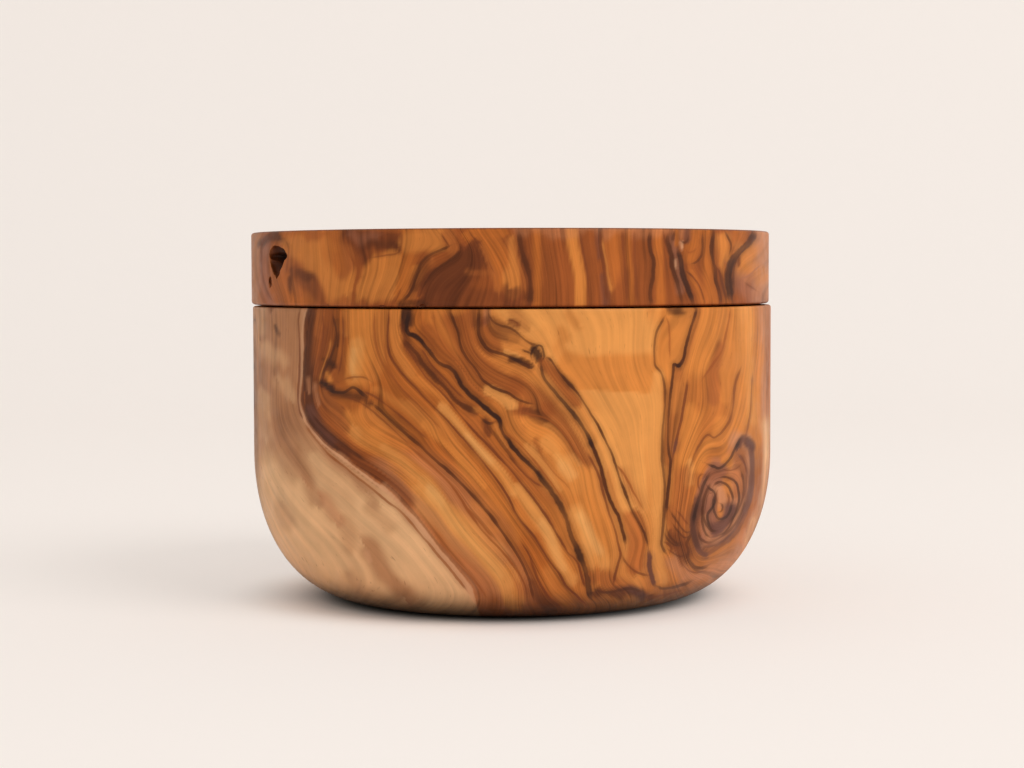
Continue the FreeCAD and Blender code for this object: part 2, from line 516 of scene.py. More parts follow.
BOWL_STROKES: tuple[Stroke, ...] = (
    # honey field in the middle, gold and amber on the right
    Stroke(HONEY, (560, 280, 606, 330, 617, 380, 626, 430, 636, 490, 648, 580), (80, 46), (20, 8)),
    Stroke(AMBER, (712, 280, 712, 400, 690, 520, 690, 610), (46, 60), (8, 20)),
    Stroke(GOLD, (664, 300, 663, 330, 662, 360), (10, 22), (6, 8), 0.7),
    Stroke(ORANGE, (706, 390, 702, 430, 694, 480, 690, 540), (20, 24), (12, 14), 0.6),
    Stroke(GOLD, (742, 290, 748, 360, 752, 430), (16, 14), (8, 6), 0.85),
    Stroke(GOLD, (572, 371, 600, 371, 630, 372, 652, 373), (19, 19), (1.6, 5), 0.9),
    Stroke(AMBER, (543, 334, 550, 337, 561, 335), (8, 8), (4, 5), 0.7),
    patch(AMBER, (560, 350, 566, 357), 6, 3, 0.6),
    patch(AMBER, (569, 314, 577, 322), 6, 4, 0.6),
    # brown to orange body between the sapwood and the main veins
    Stroke(ORANGE, (395, 280, 400, 340, 430, 390, 480, 440, 530, 510, 560, 620), (110, 52), (20, 16)),
    Stroke(AMBER, (470, 280, 490, 350, 540, 400, 570, 470, 595, 560, 600, 625), (40, 36), (18, 12), 0.7),
    Stroke(RUSSET, (324, 280, 322, 330, 318, 380, 318, 420, 350, 452, 392, 490), (20, 20), (2, 12), 0.75),
    Stroke(ROSE, (404, 488, 436, 512, 466, 548, 492, 590), (16, 40), (12, 14), 0.5),
    patch(GOLD, (472, 466, 490, 498, 506, 535), 15, 8, 0.45),
    patch(AMBER, (366, 411, 384, 424), 6, 4, 0.6),
    patch(COPPER, (334, 408, 346, 420, 356, 432), 7, 5, 0.8),
    # flame and pale bands
    Stroke(AMBER, (382, 296, 380, 330, 378, 352, 372, 374), (12, 10), (6, 5), 0.6),
    Stroke(GOLD, (361, 296, 360, 330, 358, 352, 354, 374), (12, 13), (1.6, 6), 0.95),
    Stroke(HONEY, (355, 345, 354, 362, 353, 372), (6, 7), (2.5, 4), 0.8),
    Stroke(AMBER, (344.5, 300, 345, 320, 344, 332), (3, 4), (1.6, 2), 0.85),
    patch(UMBER, (338, 318, 338.5, 332, 337, 346), 1.8, 1.3, 0.7),
    Stroke(AMBER, (397, 296, 397, 330, 401, 352, 412, 372), (7, 5), (3, 3), 0.75),
    patch(AMBER, (376, 388, 392, 398, 408, 410, 424, 424), 4, 3, 0.6),
    Stroke(GOLD, (354, 418, 364, 432, 380, 444), (9, 10), (5, 6), 0.9),
    patch(HONEY, (358, 428, 366, 435, 378, 442), 5, 4, 0.6),
    Stroke(GOLD, (
        374, 434, 392, 453, 408, 468, 424, 485, 440, 503, 458, 524, 480, 548, 500, 574, 512, 598
    ), (9, 9), (4, 6), 0.85),
    patch(HONEY, (384, 446, 400, 461, 414, 477), 4, 3, 0.6),
    patch(HONEY, (422, 484, 436, 499, 448, 514, 464, 532, 484, 553, 504, 580), 6, 4, 0.9),
    patch(AMBER, (462, 520, 478, 542, 494, 560), 3, 2, 0.5),
    patch(AMBER, (410, 404, 426, 416, 442, 430, 458, 448, 476, 468), 7, 5, 0.7),
    Stroke(GOLD, (424, 424, 440, 440, 456, 456, 470, 470, 484, 484), (3.5, 4), (2, 4), 0.9),
    Stroke(HONEY, (442, 408, 460, 425, 476, 443, 490, 459, 502, 474, 513, 491), (6, 5), (3, 2.5), 0.85),
    patch(AMBER, (510, 500, 520, 516, 530, 530), 5, 4, 0.6),
    Stroke(HONEY, (518, 488, 534, 514, 548, 538, 560, 560, 572, 577), (7, 7), (4, 3), 0.9),
    Stroke(GOLD, (418, 378, 430, 390, 444, 402), (5, 4), (3, 3), 0.6),
    Stroke(GOLD, (512, 574, 517, 588, 520, 600), (10, 5), (5, 4), 0.8),
    patch(AMBER, (548, 574, 553, 588, 560, 600), 8, 5, 0.7),
    patch(STRAW, (428, 490, 440, 503, 450, 517, 466, 535, 484, 554, 500, 575), 3, 3, 0.7),
    Stroke(STRAW, (353, 350, 352, 362, 351, 371), (3, 3), (2.5, 3), 0.6),
    patch(STRAW, (468, 434, 482, 450, 496, 468), 3, 2.5, 0.5),
    patch(STRAW, (540, 524, 552, 545, 564, 566), 4, 3, 0.5),
    # dark root and the brown bands that run down from it
    Stroke(INK, (410, 298, 408, 312, 407, 324), (6.5, 5.5), (2, 3), 0.9),
    Stroke(CHESTNUT, (404, 326, 410, 345, 424, 362, 440, 381, 456, 399, 474, 411), (4, 5), (2, 4), 0.8),
    Stroke(COPPER, (470, 408, 490, 434, 510, 458, 532, 480, 552, 498), (9, 4), (6, 4), 0.6),
    patch(CHESTNUT, (486, 421, 489, 431), 4, 2.5, 0.85),
    patch(GOLD, (474, 408, 484, 411, 492, 417), 3, 2, 0.7),
    patch(AMBER, (495, 424, 500, 434, 506, 444), 2.2, 1.5, 0.8),
    Stroke(RUSSET, (
        395, 418, 414, 438, 434, 458, 456, 480, 480, 506, 506, 540, 528, 576, 540, 606
    ), (8, 7), (6, 5), 0.35),
    Stroke(RUSSET, (455, 322, 466, 352, 484, 372, 510, 388), (10, 9), (6, 4), 0.85),
    patch(RUSSET, (430, 330, 440, 350, 458, 372, 480, 394), 8, 5, 0.7),
    # around the upper knot
    Stroke(HONEY, (498, 298, 512, 309, 532, 322, 545, 328), (14, 9), (7, 5), 0.75),
    patch(RUSSET, (466, 318, 476, 336, 490, 346), 9, 5, 0.8),
    patch(CHESTNUT, (473, 300, 475, 322), 5, 3, 0.7),
    Stroke(MAUVE, (484, 298, 484, 318), (2.5, 4), (2, 2), 0.6),
    Stroke(CHESTNUT, (490, 327, 500, 332, 510, 338), (6, 7), (3, 4), 0.6),
    patch(RUSSET, (510, 404, 524, 413, 536, 424), 6, 4, 0.85),
    patch(CHESTNUT, (510, 321, 517, 324), 3.5, 2.5, 0.8),
    patch(AMBER, (513, 342, 524, 348), 5, 4, 0.5),
    patch(HONEY, (505, 352, 513, 354, 518, 356), 2.2, 1.5, 0.9),
    patch(UMBER, (510, 359, 520, 361, 529, 365), 3, 2, 0.85),
    patch(INK, (534, 350, 537, 353, 539, 358), 4, 2.5, 0.9),
    Stroke(RUSSET, (545, 364, 553, 374, 562, 388, 574, 402), (6, 7), (3, 4), 0.85),
    patch(HONEY, (488, 391, 498, 396, 510, 404), 5.5, 3, 0.9),
    Stroke(RUSSET, (516, 384, 530, 392, 546, 403), (10, 8), (6, 6), 0.8),
    Stroke(CHESTNUT, (523, 410, 534, 412, 545, 416), (4.5, 3), (3, 2), 0.8),
    Stroke(RUSSET, (552, 408, 568, 424, 578, 444, 586, 462), (9, 6), (6, 4), 0.8),
    # pale middle between the long veins
    Stroke(GOLD, (532, 430, 544, 439, 556, 450), (7, 11), (5, 6), 0.85),
    patch(RUSSET, (536, 440, 539, 448), 3, 2.5, 0.55),
    patch(HONEY, (548, 441, 556, 449), 6, 4, 0.5),
    patch(HONEY, (530, 448, 544, 466, 560, 486), 4, 3, 0.6),
    Stroke(HONEY, (566, 462, 573, 472, 578, 484), (10, 9), (3, 5), 0.95),
    patch(AMBER, (553, 458, 562, 476, 572, 494), 4, 3, 0.5),
    Stroke(GOLD, (582, 478, 590, 500, 598, 525, 602, 548), (16, 11), (7, 5), 0.8),
    Stroke(HONEY, (577, 512, 586, 530, 594, 548, 600, 562), (8, 8), (4, 5), 0.95),
    patch(STRAW, (580, 516, 588, 532, 596, 550), 5, 4, 0.7),
    patch(STRAW, (566, 466, 572, 474), 5, 4, 0.5),
    patch(COPPER, (608, 470, 614, 492, 621, 515), 4, 3, 0.4),
    Stroke(HONEY, (594, 424, 604, 445, 612, 470, 622, 500, 634, 524), (4, 6), (3, 3), 0.85),
    Stroke(COPPER, (622, 472, 628, 488, 636, 504), (3, 6), (2, 4), 0.4),
    Stroke(COPPER, (632, 520, 638, 542, 636, 566), (9, 9), (5, 3), 0.9),
    Stroke(HONEY, (655, 512, 657, 548, 660, 578), (6, 8), (4, 3), 0.85),
    # right side
    Stroke(COPPER, (700, 304, 694, 326, 689, 346, 684, 362), (2, 6), (1.5, 5), 0.6),
    Stroke(HONEY, (657, 376, 656, 430, 656, 476, 656, 508), (6, 8), (3, 3), 0.85),
    Stroke(GOLD, (706, 298, 704, 322, 700, 344, 694, 366), (4, 7), (4, 5), 0.7),
    Stroke(HONEY, (744, 296, 748, 340, 752, 380, 754, 420), (9, 5), (6, 4), 0.6),
    patch(UMBER, (671, 309, 681, 310), 3, 2.5, 0.75),
    Stroke(COPPER, (680, 372, 676, 400, 672, 430, 670, 460), (6, 5), (3, 3), 0.7),
    patch(COPPER, (720, 346, 716, 368, 712, 398), 6, 4, 0.9),
    patch(GOLD, (716, 304, 714, 330, 709, 352, 704, 372), 2, 1.5, 0.9),
    patch(GOLD, (726, 372, 727, 384, 725, 398), 5, 3, 0.8),
    Stroke(GOLD, (690, 412, 688, 436, 686, 458), (7, 10), (4, 6), 0.9),
    Stroke(GOLD, (722, 422, 716, 438, 706, 448, 697, 466), (5, 6), (4, 4), 0.85),
    patch(HONEY, (691, 464, 690, 482), 4, 3, 0.9),
    Stroke(COPPER, (686, 476, 682, 500, 680, 520), (8, 9), (5, 6), 0.75),
    # painted reflection: pale bands along the right-hand edge, where the face turns away from the eye
    Stroke(ROSE, (766, 296, 769, 380, 770, 450, 766, 500), (8, 20), (5, 5), 0.85),
    Stroke(SAP_PALE, (766, 426, 766, 475, 761, 510, 750, 540), (4, 7), (10, 9), 0.75),
    # burl
    Stroke(ROSE, (742, 442, 742, 470, 740, 500, 726, 526, 708, 542), (11, 9), (4, 4), 0.9),
    Stroke(COPPER, (738, 454, 741, 474, 739, 492), (8, 6), (4, 4), 0.7),
    Stroke(MAUVE, (716, 470, 708, 490, 704, 512, 706, 534), (9, 12), (4, 4), 0.95),
    Stroke(PLUM, (739, 446, 742, 441, 747, 446), (5, 6), (3, 3), 0.85),
    patch(PLUM, (749, 448, 751, 470, 749, 498, 740, 520, 724, 537, 706, 548), 3, 2, 0.6),
    Stroke(PLUM, (698, 500, 696, 510, 694, 525, 697, 542, 705, 553), (4, 4), (2, 3), 0.7),
    patch(ROSE, (718, 490, 722, 497, 723, 505), 6, 4, 0.95),
    Stroke(PLUM, (730, 508, 724, 520, 716, 528), (8, 7), (4, 4), 0.95),
    Stroke(PLUM, (704, 504, 704, 516, 710, 530), (5, 6), (3, 3), 0.3),
    patch(ROSE, (703, 516, 705, 530, 711, 540, 722, 537, 733, 526), 3, 2, 0.8),
    # painted reflection: pale rose along the lower right-hand edge
    Stroke(ROSE, (764, 470, 758, 505, 748, 530, 730, 552, 712, 566), (4, 12), (4, 6), 0.4),
    Stroke(CHESTNUT, (706, 474, 718, 472, 730, 478), (4, 5), (3, 3), 0.5),
    Stroke(COPPER, (668, 514, 674, 530, 678, 548), (7, 10), (4, 5), 0.8),
    Stroke(CHESTNUT, (674, 536, 680, 546, 684, 554), (9, 7), (4, 4), 0.75),
    Stroke(ROSE, (674, 562, 692, 578, 712, 572, 738, 548), (8, 8), (6, 5), 0.7),
    # small fields between the veins
    patch(GOLD, (494, 468, 500, 477, 507, 487), 6, 4, 0.5),
    patch(AMBER, (538, 468, 544, 477, 550, 487), 6, 4, 0.5),
    patch(HONEY, (597, 446, 600, 456, 603, 466), 5, 3, 0.55),
    patch(AMBER, (372, 408, 386, 422, 402, 438), 9, 5, 0.5),
    patch(ORANGE, (338, 306, 340, 316, 341, 326), 7, 4, 0.5),
    patch(AMBER, (474, 508, 481, 516, 488, 526), 6, 4, 0.4),
    patch(AMBER, (614, 506, 620, 516, 625, 526), 6, 4, 0.4),
    patch(HONEY, (450, 510, 470, 531, 490, 554, 506, 580, 515, 600), 9, 4, 0.6),
    patch(AMBER, (680, 386, 679, 396, 678, 406), 6, 4, 0.45),
    patch(RUSSET, (514, 308, 520, 316, 526, 324), 6, 4, 0.4),
    Stroke(STRAW, (430, 506, 456, 530, 482, 552, 504, 582), (15, 13), (8, 6), 0.3),
    patch(HONEY, (658, 304, 655, 316, 654, 328), 6, 4, 0.55),
    # foot
    Stroke(COPPER, (590, 574, 610, 582, 628, 590), (7, 8), (4, 5), 0.7),
    patch(CHESTNUT, (596, 592, 620, 594, 646, 594), 5, 4, 0.8),
    patch(PLUM, (630, 590, 640, 592), 5, 3, 0.8),
    Stroke(CHESTNUT, (532, 588, 538, 597, 548, 606), (6, 8), (4, 4), 0.5),
)

EDGE_STROKES: tuple[Stroke, ...] = (
    # dark wood along the sapwood's edge
    Stroke(UMBER, (
        310, 295, 307, 320, 305, 345, 304, 375, 302, 398, 305, 413, 313, 426, 325, 439, 340, 451
    ), (0, 9), (0.5, 5), 0.85),
    Stroke(PLUM, (308, 412, 318, 426, 332, 440), (4, 5), (3, 3), 0.7),
    Stroke(CHESTNUT, (340, 450, 356, 463, 374, 476, 394, 492, 404, 503), (0, 9), (0.5, 6), 0.7),
    Stroke(RUSSET, (404, 504, 425, 525, 440, 546, 458, 568, 474, 592), (0, 4), (0.5, 4), 0.6),
    Stroke(COPPER, (319, 296, 319, 318, 318, 334), (3, 3.5), (2, 2), 0.85),
    Stroke(RUSSET, (323, 332, 323, 352, 318, 374), (5, 6), (3, 3), 0.8),
    patch(UMBER, (326, 362, 332, 366), 4, 2.5, 0.8),
    patch(GOLD, (326, 375, 329, 380), 3, 2, 0.9),
    patch(ROSE, (307, 378, 307, 391), 1.8, 1.5, 0.5),
    patch(ROSE, (313, 386, 316, 402), 2.2, 2, 0.5),
    Stroke(COPPER, (322, 398, 332, 410, 345, 424), (4, 7), (3, 4), 0.7),
    patch(INK, (323, 384, 331, 387), 3.5, 2, 0.9),
    patch(UMBER, (334, 391, 344, 393, 356, 395, 370, 402), 3.5, 2.5, 0.75),
)

SAP_EDGE: Path = (
    308, 290, 304, 316, 302, 345, 301, 375, 299, 398, 302, 413, 310, 428, 322, 443, 338, 455, 354, 467,
    370, 479, 390, 494, 406, 511, 421, 528, 435, 546, 449, 563, 463, 580, 473, 598, 482, 625,
)

SAP_STROKES: tuple[Stroke, ...] = (
    Stroke(SAP_SHADE, (280, 290, 282, 350, 284, 410, 294, 462), (44, 24), (10, 14), 0.8),
    Stroke(SAP_PALE, (276, 500, 322, 540, 380, 560, 450, 578), (40, 54), (22, 22), 0.75),
    Stroke(SAP_PALE, (378, 508, 400, 538, 425, 565, 450, 592), (22, 16), (10, 8), 0.8),
    patch(SAP_PALE, (276, 470, 286, 488, 297, 508, 312, 534, 335, 562), 12, 8, 0.7),
    patch(SAP_PALE, (316, 456, 335, 474, 360, 500, 386, 530), 6, 5, 0.5),
    patch(SAP_PALE, (264, 346, 270, 353, 282, 360), 6, 6, 0.35),
    patch(SAP_PALE, (280, 384, 288, 396), 7, 6, 0.35),
    Stroke(SAP_SHADE, (294, 452, 302, 478, 313, 500), (8, 6), (5, 5), 0.6),
    # painted reflection: pale rose and pale sap along the left-hand edge
    Stroke(ROSE, (258, 300, 256, 400, 258, 470), (8, 4), (4, 4), 0.3),
    patch(SAP_PALE, (260, 298, 259, 314, 259, 330), 7, 5, 0.35),
    Stroke(SAP_PALE, (262, 398, 262, 416, 264, 434), (9, 8), (6, 6), 0.4),
    patch(SAP_SHADE, (372, 506, 380, 516, 388, 527), 7, 5, 0.4),
    patch(SAP_SHADE, (284, 506, 290, 518), 7, 7, 0.4),
    patch(ROSE, (322, 500, 332, 518), 6, 6, 0.6),
    Stroke(SAP_SHADE, (342, 524, 350, 546), (7, 6), (6, 6), 0.4),
    Stroke(SAP_SHADE, (370, 552, 384, 570, 400, 592), (8, 12), (7, 7), 0.75),
    patch(SAP_SHADE, (350, 574, 366, 590), 6, 6, 0.4),
    Stroke(SAP_SHADE, (330, 451, 352, 474, 376, 500), (7, 3), (5, 2), 0.45),
    patch(CREAM, (366, 553, 369, 560), 2.5, 2, 0.5),
    Stroke(SAP_SHADE, (274, 425, 284, 450, 298, 472), (14, 12), (9, 9), 0.6),
    patch(UMBER, (276, 326, 279, 334), 1.5, 1.3, 0.6),
    patch(CHESTNUT, (271, 303, 271, 310), 1.5, 1.3, 0.6),
)

BOWL_RINGS: tuple[tuple[Pixel, float], ...] = (
    ((262, 320), -9.0), ((258, 400), -10.0), ((262, 470), -11.0), ((280, 530), -12.0), ((320, 580), -11.0),
    ((380, 600), -7.0), ((350, 520), -6.0), ((320, 470), -4.0), ((280, 420), -5.0), ((282, 350), -4.5),
    ((600, 330), 50.0), ((630, 330), 53.5), ((640, 420), 52.0), ((646, 500), 52.0), ((655, 560), 54.0),
    ((766, 330), 76.0), ((768, 420), 77.0), ((765, 500), 78.0), ((745, 545), 72.0), ((710, 580), 66.0),
)

BOWL_VEINS: tuple[Vein, ...] = (
    # sapwood edge
    Vein(CREAM, 2.2, (
        308, 304, 304, 316, 302, 330, 302, 345, 301.5, 360, 301, 375, 300, 388, 299, 398, 300, 406, 302,
        413, 305, 421, 310, 428, 316, 436, 322, 442.5, 330, 449, 338, 455, 346, 461, 354, 467, 362, 473,
        370, 479, 378, 485, 390, 494
    ), 0.0),
    Vein(CREAM, 4.4, (
        376, 483, 384, 489, 391, 495, 398, 502, 406, 511, 414, 520, 421, 528, 428, 537, 435, 546, 442, 555,
        449, 563, 456, 571, 463, 580, 469, 589, 473, 598, 476, 606
    ), 0.0),
    Vein(RUSSET, 2.0, (
        304, 423, 310, 432, 316, 440, 322, 447, 329, 454.5, 337, 461, 345, 467, 353, 474, 361, 480, 370,
        487, 378, 493.5, 388, 502, 397, 508, 406, 517, 413, 525, 421, 535, 429, 544, 437, 554, 445, 563,
        453, 573, 461, 583, 468, 592
    ), -1.0, 0.8),
    Vein(CHESTNUT, 1.5, (
        300, 306, 298, 320, 299, 340, 299, 370, 297.5, 395, 299, 410, 303, 420
    ), None, 0.75),
    Vein(UMBER, 2.6, (
        309, 304, 306, 318, 305, 332, 305, 350, 304, 370, 303, 385, 302, 398, 304, 408, 308, 418, 314, 427,
        321, 435, 330, 443, 342, 452
    ), 1.3, 0.8),
    Vein(UMBER, 2.0, (311, 412, 320, 424, 331, 434, 342, 443, 354, 452, 366, 461), 3.5, 0.8),
    # eye and the fan under it
    Vein(UMBER, 2.2, (
        332, 312, 334, 322, 336, 332, 335, 342, 332, 352, 328, 362, 323, 370, 320, 378, 320, 385, 326, 389
    ), None, 0.9),
    Vein(AMBER, 1.6, (331, 336, 329, 348, 325, 360, 321, 371, 318, 384), None, 0.8),
    Vein(CHESTNUT, 1.6, (322, 310, 323, 330, 321, 350, 317, 366), None, 0.6),
    Vein(CHESTNUT, 1.6, (342, 312, 343, 330, 342, 348, 340, 364, 337, 376), None, 0.7),
    Vein(INK, 3.0, (
        324, 386, 330, 390, 337, 392, 343, 392, 348, 389, 352, 387, 357, 389, 363, 394, 371, 400
    ), 9.0, 0.9),
    Vein(CHESTNUT, 1.8, (341, 380, 348, 377.5, 356, 376.5, 364, 377, 374, 383), None, 0.6),
    Vein(CHESTNUT, 1.8, (344, 396, 358, 401, 370, 409, 384, 421, 398, 434, 411, 446), None, 0.7),
    Vein(CHESTNUT, 1.8, (360, 390, 374, 396, 388, 406, 402, 417, 416, 429, 428, 440), None, 0.7),
    Vein(UMBER, 3.0, (
        370, 402, 380, 410, 390, 420, 400, 428.5, 408, 435.5, 416, 442, 423, 448.5, 430, 455.5, 437, 461.5,
        445, 468, 453, 475.5, 461, 483.5, 469, 491.5, 477, 500, 484, 508, 490, 515, 495, 522, 500, 529,
        506, 537.5, 511, 545, 518, 556, 524, 568, 528, 578, 531, 590, 534, 602
    ), 13.7, 0.9),
    Vein(RUSSET, 2.0, (
        410, 446, 425, 459, 440, 473, 452, 486, 460, 498, 466, 508, 473, 518, 480, 528, 488, 537, 497, 546,
        505, 555, 512, 564, 520, 576, 528, 592
    ), 11.0, 0.85),
    Vein(RUSSET, 1.5, (464, 504, 472, 513, 480, 522, 487, 531, 494, 538), None, 0.7),
    Vein(CHESTNUT, 2.0, (519, 540, 528, 553, 533, 567, 538, 580, 545, 592, 552, 602), None, 0.8),
    Vein(RUSSET, 1.8, (438, 540, 450, 556, 464, 570, 478, 585, 488, 600), None, 0.6),
    # lines between the flame and the dark root
    Vein(RUSSET, 1.8, (
        374, 306, 374, 330, 376, 345, 380, 358, 387, 370, 396, 382, 407, 394, 418, 405, 430, 417, 442, 430
    ), 17.0, 0.65),
    Vein(RUSSET, 1.4, (383, 335, 386, 358, 392, 374, 401, 388, 412, 401), None, 0.5),
    Vein(CHESTNUT, 2.0, (
        389, 304, 388, 322, 387, 335, 388, 348, 390, 356, 395, 364, 401, 372, 408, 380, 416, 388, 423, 396,
        431, 404, 439, 412, 446, 419, 453, 427, 460, 435, 467, 443, 473, 450, 480, 458, 487, 467, 493, 475,
        499, 483, 505, 492, 510, 501, 515, 512, 521, 521, 527, 528, 533, 535, 538, 543, 543, 551, 548, 559,
        553, 566, 558, 572, 561, 577, 564, 583, 569, 589, 575, 594, 581, 600, 588, 606
    ), 21.5, 0.95),
    # dark root with its two branches
    Vein(INK, 3.8, (
        411, 304, 408, 316, 406, 325, 408, 333, 414, 335, 419, 339, 424, 345, 430, 352, 434, 358, 438, 362,
        443, 365, 449, 367, 454, 372, 458, 379, 461, 385, 468, 393, 475, 399, 482, 405, 489, 411, 494, 415,
        498, 418, 500, 423, 501, 429, 504, 435, 508, 440, 512, 446.5, 518, 453, 524, 459.5, 530, 465, 535,
        470, 540, 476, 543, 481
    ), 28.0),
    Vein(INK, 5.2, (
        532, 467, 537, 472, 541, 478, 545, 483, 549, 488, 553, 494, 557, 500, 561, 507, 564, 514, 567, 521,
        569, 530, 572, 539, 576, 547, 579, 555, 582, 562, 585, 570, 587, 578, 588, 586, 589, 594, 592, 602
    ), 28.0, 0.95),
    Vein(UMBER, 4.6, (
        402, 338, 406, 343, 412, 349, 418, 355, 421, 362, 426, 368, 431, 374, 436, 380, 442, 385, 448, 391,
        452, 397, 457, 402, 464, 406, 471, 410, 480, 416
    ), 25.3, 0.9),
    Vein(CHESTNUT, 1.6, (
        418, 346, 424, 353, 430, 363, 438, 372, 446, 380, 452, 387, 458, 393, 466, 400
    ), None, 0.8),
    Vein(CHESTNUT, 2.0, (
        402, 336, 406, 346, 412, 356, 418, 366, 425, 376, 433, 384, 441, 392, 449, 401, 456, 410, 463, 418,
        470, 426.5, 477, 434, 484, 441, 491, 448.5, 498, 456, 505, 463.5, 511, 470, 518, 479, 526, 489,
        534, 499, 541, 509, 547, 518, 552, 526, 556, 533, 561, 541, 565, 548, 568, 553, 573, 557, 577, 562,
        579, 568, 581, 575, 583, 582, 586, 589
    ), 24.0, 0.9),
    Vein(RUSSET, 1.4, (539, 504, 546, 514, 551, 522, 556, 531), None, 0.7),
    Vein(INK, 3.0, (478, 415, 485, 421, 490, 423, 497, 420), None, 0.9),
    Vein(UMBER, 3.2, (487, 421, 489, 428, 494, 434, 500, 442, 506, 450, 512, 458, 519, 466), 26.3, 0.6),
    Vein(CHESTNUT, 1.8, (506, 452, 513, 461, 520, 469, 528, 477, 536, 483, 544, 487), None, 0.8),
    Vein(RUSSET, 1.6, (
        502, 432, 509, 436, 516, 441, 523, 448, 530, 456, 536, 463, 542, 471, 548, 479, 554, 487, 560, 496,
        566, 506
    ), 29.5, 0.8),
    Vein(RUSSET, 1.6, (420, 306, 421, 322, 424, 331, 430, 340, 438, 350), None, 0.6),
    Vein(RUSSET, 1.6, (432, 308, 435, 326, 440, 340, 448, 352, 458, 362, 466, 373, 473, 386), 30.2, 0.6),
    # vein that leans to the knot
    Vein(UMBER, 2.6, (
        447, 306, 452, 317, 455, 325, 458, 333, 459, 340, 460.5, 347, 464, 354, 469, 361, 474, 367, 478,
        373, 482, 379, 487, 383, 493, 387, 500, 390, 508, 393, 515, 397.5, 521, 400.5, 528, 402.5, 536,
        404
    ), 32.5, 0.95),
    Vein(UMBER, 3.0, (
        479, 304, 478, 318, 478, 330, 480, 338, 484, 345, 490, 350, 496, 352, 503, 354, 512, 358, 518, 361,
        524, 364, 531, 367, 535, 363
    ), 41.0, 0.95),
    Vein(INK, 3.2, (507, 355, 513, 358.5, 519, 360.5, 526, 363), None, 0.8),
    Vein(UMBER, 2.4, (
        487, 306, 489, 316, 494, 322, 500, 325, 508, 327, 514, 330, 520, 335.5, 526, 340.5, 532, 343.5,
        540, 345
    ), 44.0, 0.85),
    Vein(CHESTNUT, 1.6, (505, 320, 512, 320, 517, 323, 516, 328), None, 0.8),
    Vein(UMBER, 1.8, (520, 349, 526, 351, 532, 354), None, 0.8),
    Vein(INK, 2.0, (532, 362, 530.5, 354, 534, 347, 540, 345, 543, 351, 543.5, 357, 540, 362), None, 0.8),
    Vein(INK, 3.8, (
        540, 358, 541, 368, 542, 374, 545, 380, 549, 385, 554, 391, 559, 397, 564, 402.5, 569, 408.5, 574,
        414.5, 579, 421.5, 584, 429, 588, 436, 591, 443.5, 594, 450.5
    ), 42.0, 0.95),
    Vein(UMBER, 3.0, (
        588, 436, 591, 443.5, 594, 450.5, 597, 458, 600, 466, 602, 474, 604, 482, 606, 490, 609, 498, 612,
        505, 617, 514, 620, 522, 622, 530, 624, 538, 625, 547
    ), 42.3),
    Vein(CHESTNUT, 2.2, (
        585, 450, 591, 460, 596, 470, 600, 480, 602, 490, 605, 500, 608, 511, 612, 522, 615, 531, 617, 540,
        619, 548, 620, 555, 618, 562, 616, 569, 614, 577, 612, 588
    ), 41.0, 0.9),
    Vein(UMBER, 2.3, (
        544, 356, 550, 359, 554, 365, 558, 371, 563, 377, 568, 383, 573, 388, 578, 394, 582, 400, 587,
        407.5, 591, 414.5, 596, 422, 600, 429.5, 604, 438, 608, 446, 611.5, 453.5, 614, 461, 616.5, 469,
        619, 477, 622, 485, 625, 493, 628, 501, 633, 513, 640, 525, 644, 533, 646.5, 541, 648, 549
    ), 45.5, 0.95),
    Vein(INK, 3.6, (558, 371, 564, 378, 570, 384.5, 576, 391), None, 0.85),
    Vein(PLUM, 3.8, (647, 545, 649, 555, 649, 566, 651, 575, 653, 582, 656, 588), 48.0, 0.95),
    Vein(RUSSET, 1.8, (614, 462, 620, 469, 625, 476, 629, 483.5, 633, 492, 639, 502, 645, 514), None, 0.8),
    Vein(RUSSET, 2.2, (
        521, 411, 530, 414, 540, 416, 548, 419, 555, 424, 561, 430, 566, 436.5, 571, 444, 576, 451.5, 581,
        459, 587, 469
    ), 36.5, 0.9),
    Vein(RUSSET, 1.6, (536, 443, 541, 455, 548, 465, 556, 475, 565, 483, 571, 492), None, 0.55),
    # right-hand veins
    Vein(UMBER, 2.2, (
        665, 314, 661, 322, 657, 329, 655, 336, 654, 344, 654, 359, 655, 365, 658, 369, 661, 373, 663, 379,
        664.5, 390, 664.5, 403, 663.5, 416, 662, 430, 661.5, 445, 661.5, 460, 663, 472, 664, 484, 664, 496,
        663.5, 508, 663, 520, 662, 533, 661, 542, 663, 549, 667, 555
    ), 57.0, 0.8),
    Vein(RUSSET, 1.5, (665, 315, 668, 323, 669, 333, 669, 347, 669.5, 361), None, 0.6),
    Vein(UMBER, 2.6, (
        697, 304, 695, 313, 692, 322, 689, 332, 687, 340, 685, 347, 684, 354, 682, 360, 679, 365, 675.5,
        365, 673.5, 364, 673, 370, 672, 377, 671, 385, 670, 393, 669, 404, 668, 416, 667.5, 430, 667.5,
        443, 668.5, 452, 670, 461, 669.5, 471, 668.5, 482, 667, 494, 666, 506, 665, 516
    ), 58.6),
    Vein(INK, 3.0, (681, 362, 678, 365.5, 674, 364.5), None, 0.8),
    Vein(CHESTNUT, 2.2, (
        688, 376, 686, 388, 684, 400, 682, 412, 680, 423, 677, 434, 675, 445, 672.5, 455, 670.5, 465, 669,
        476
    ), 60.2, 0.9),
    Vein(PLUM, 3.6, (676.5, 436, 674.5, 446, 672, 456), None, 0.8),
    Vein(RUSSET, 2.0, (
        730, 304, 729, 316, 727, 326, 725, 335, 723.5, 343, 721, 351, 715, 360, 708, 370, 700, 382
    ), 66.0, 0.8),
    Vein(CHESTNUT, 1.9, (
        742, 364, 737, 376, 734, 388, 733, 402, 731.5, 412, 729, 420, 725, 427, 719, 434, 713, 437, 708,
        434, 703, 438, 698, 446, 694, 454, 691, 463, 688, 472
    ), 68.0, 0.75),
    Vein(CHESTNUT, 1.6, (752, 372, 751, 390, 750, 410, 747, 428, 744, 440), 73.0, 0.6),
    # burl
    Vein(INK, 2.6, (
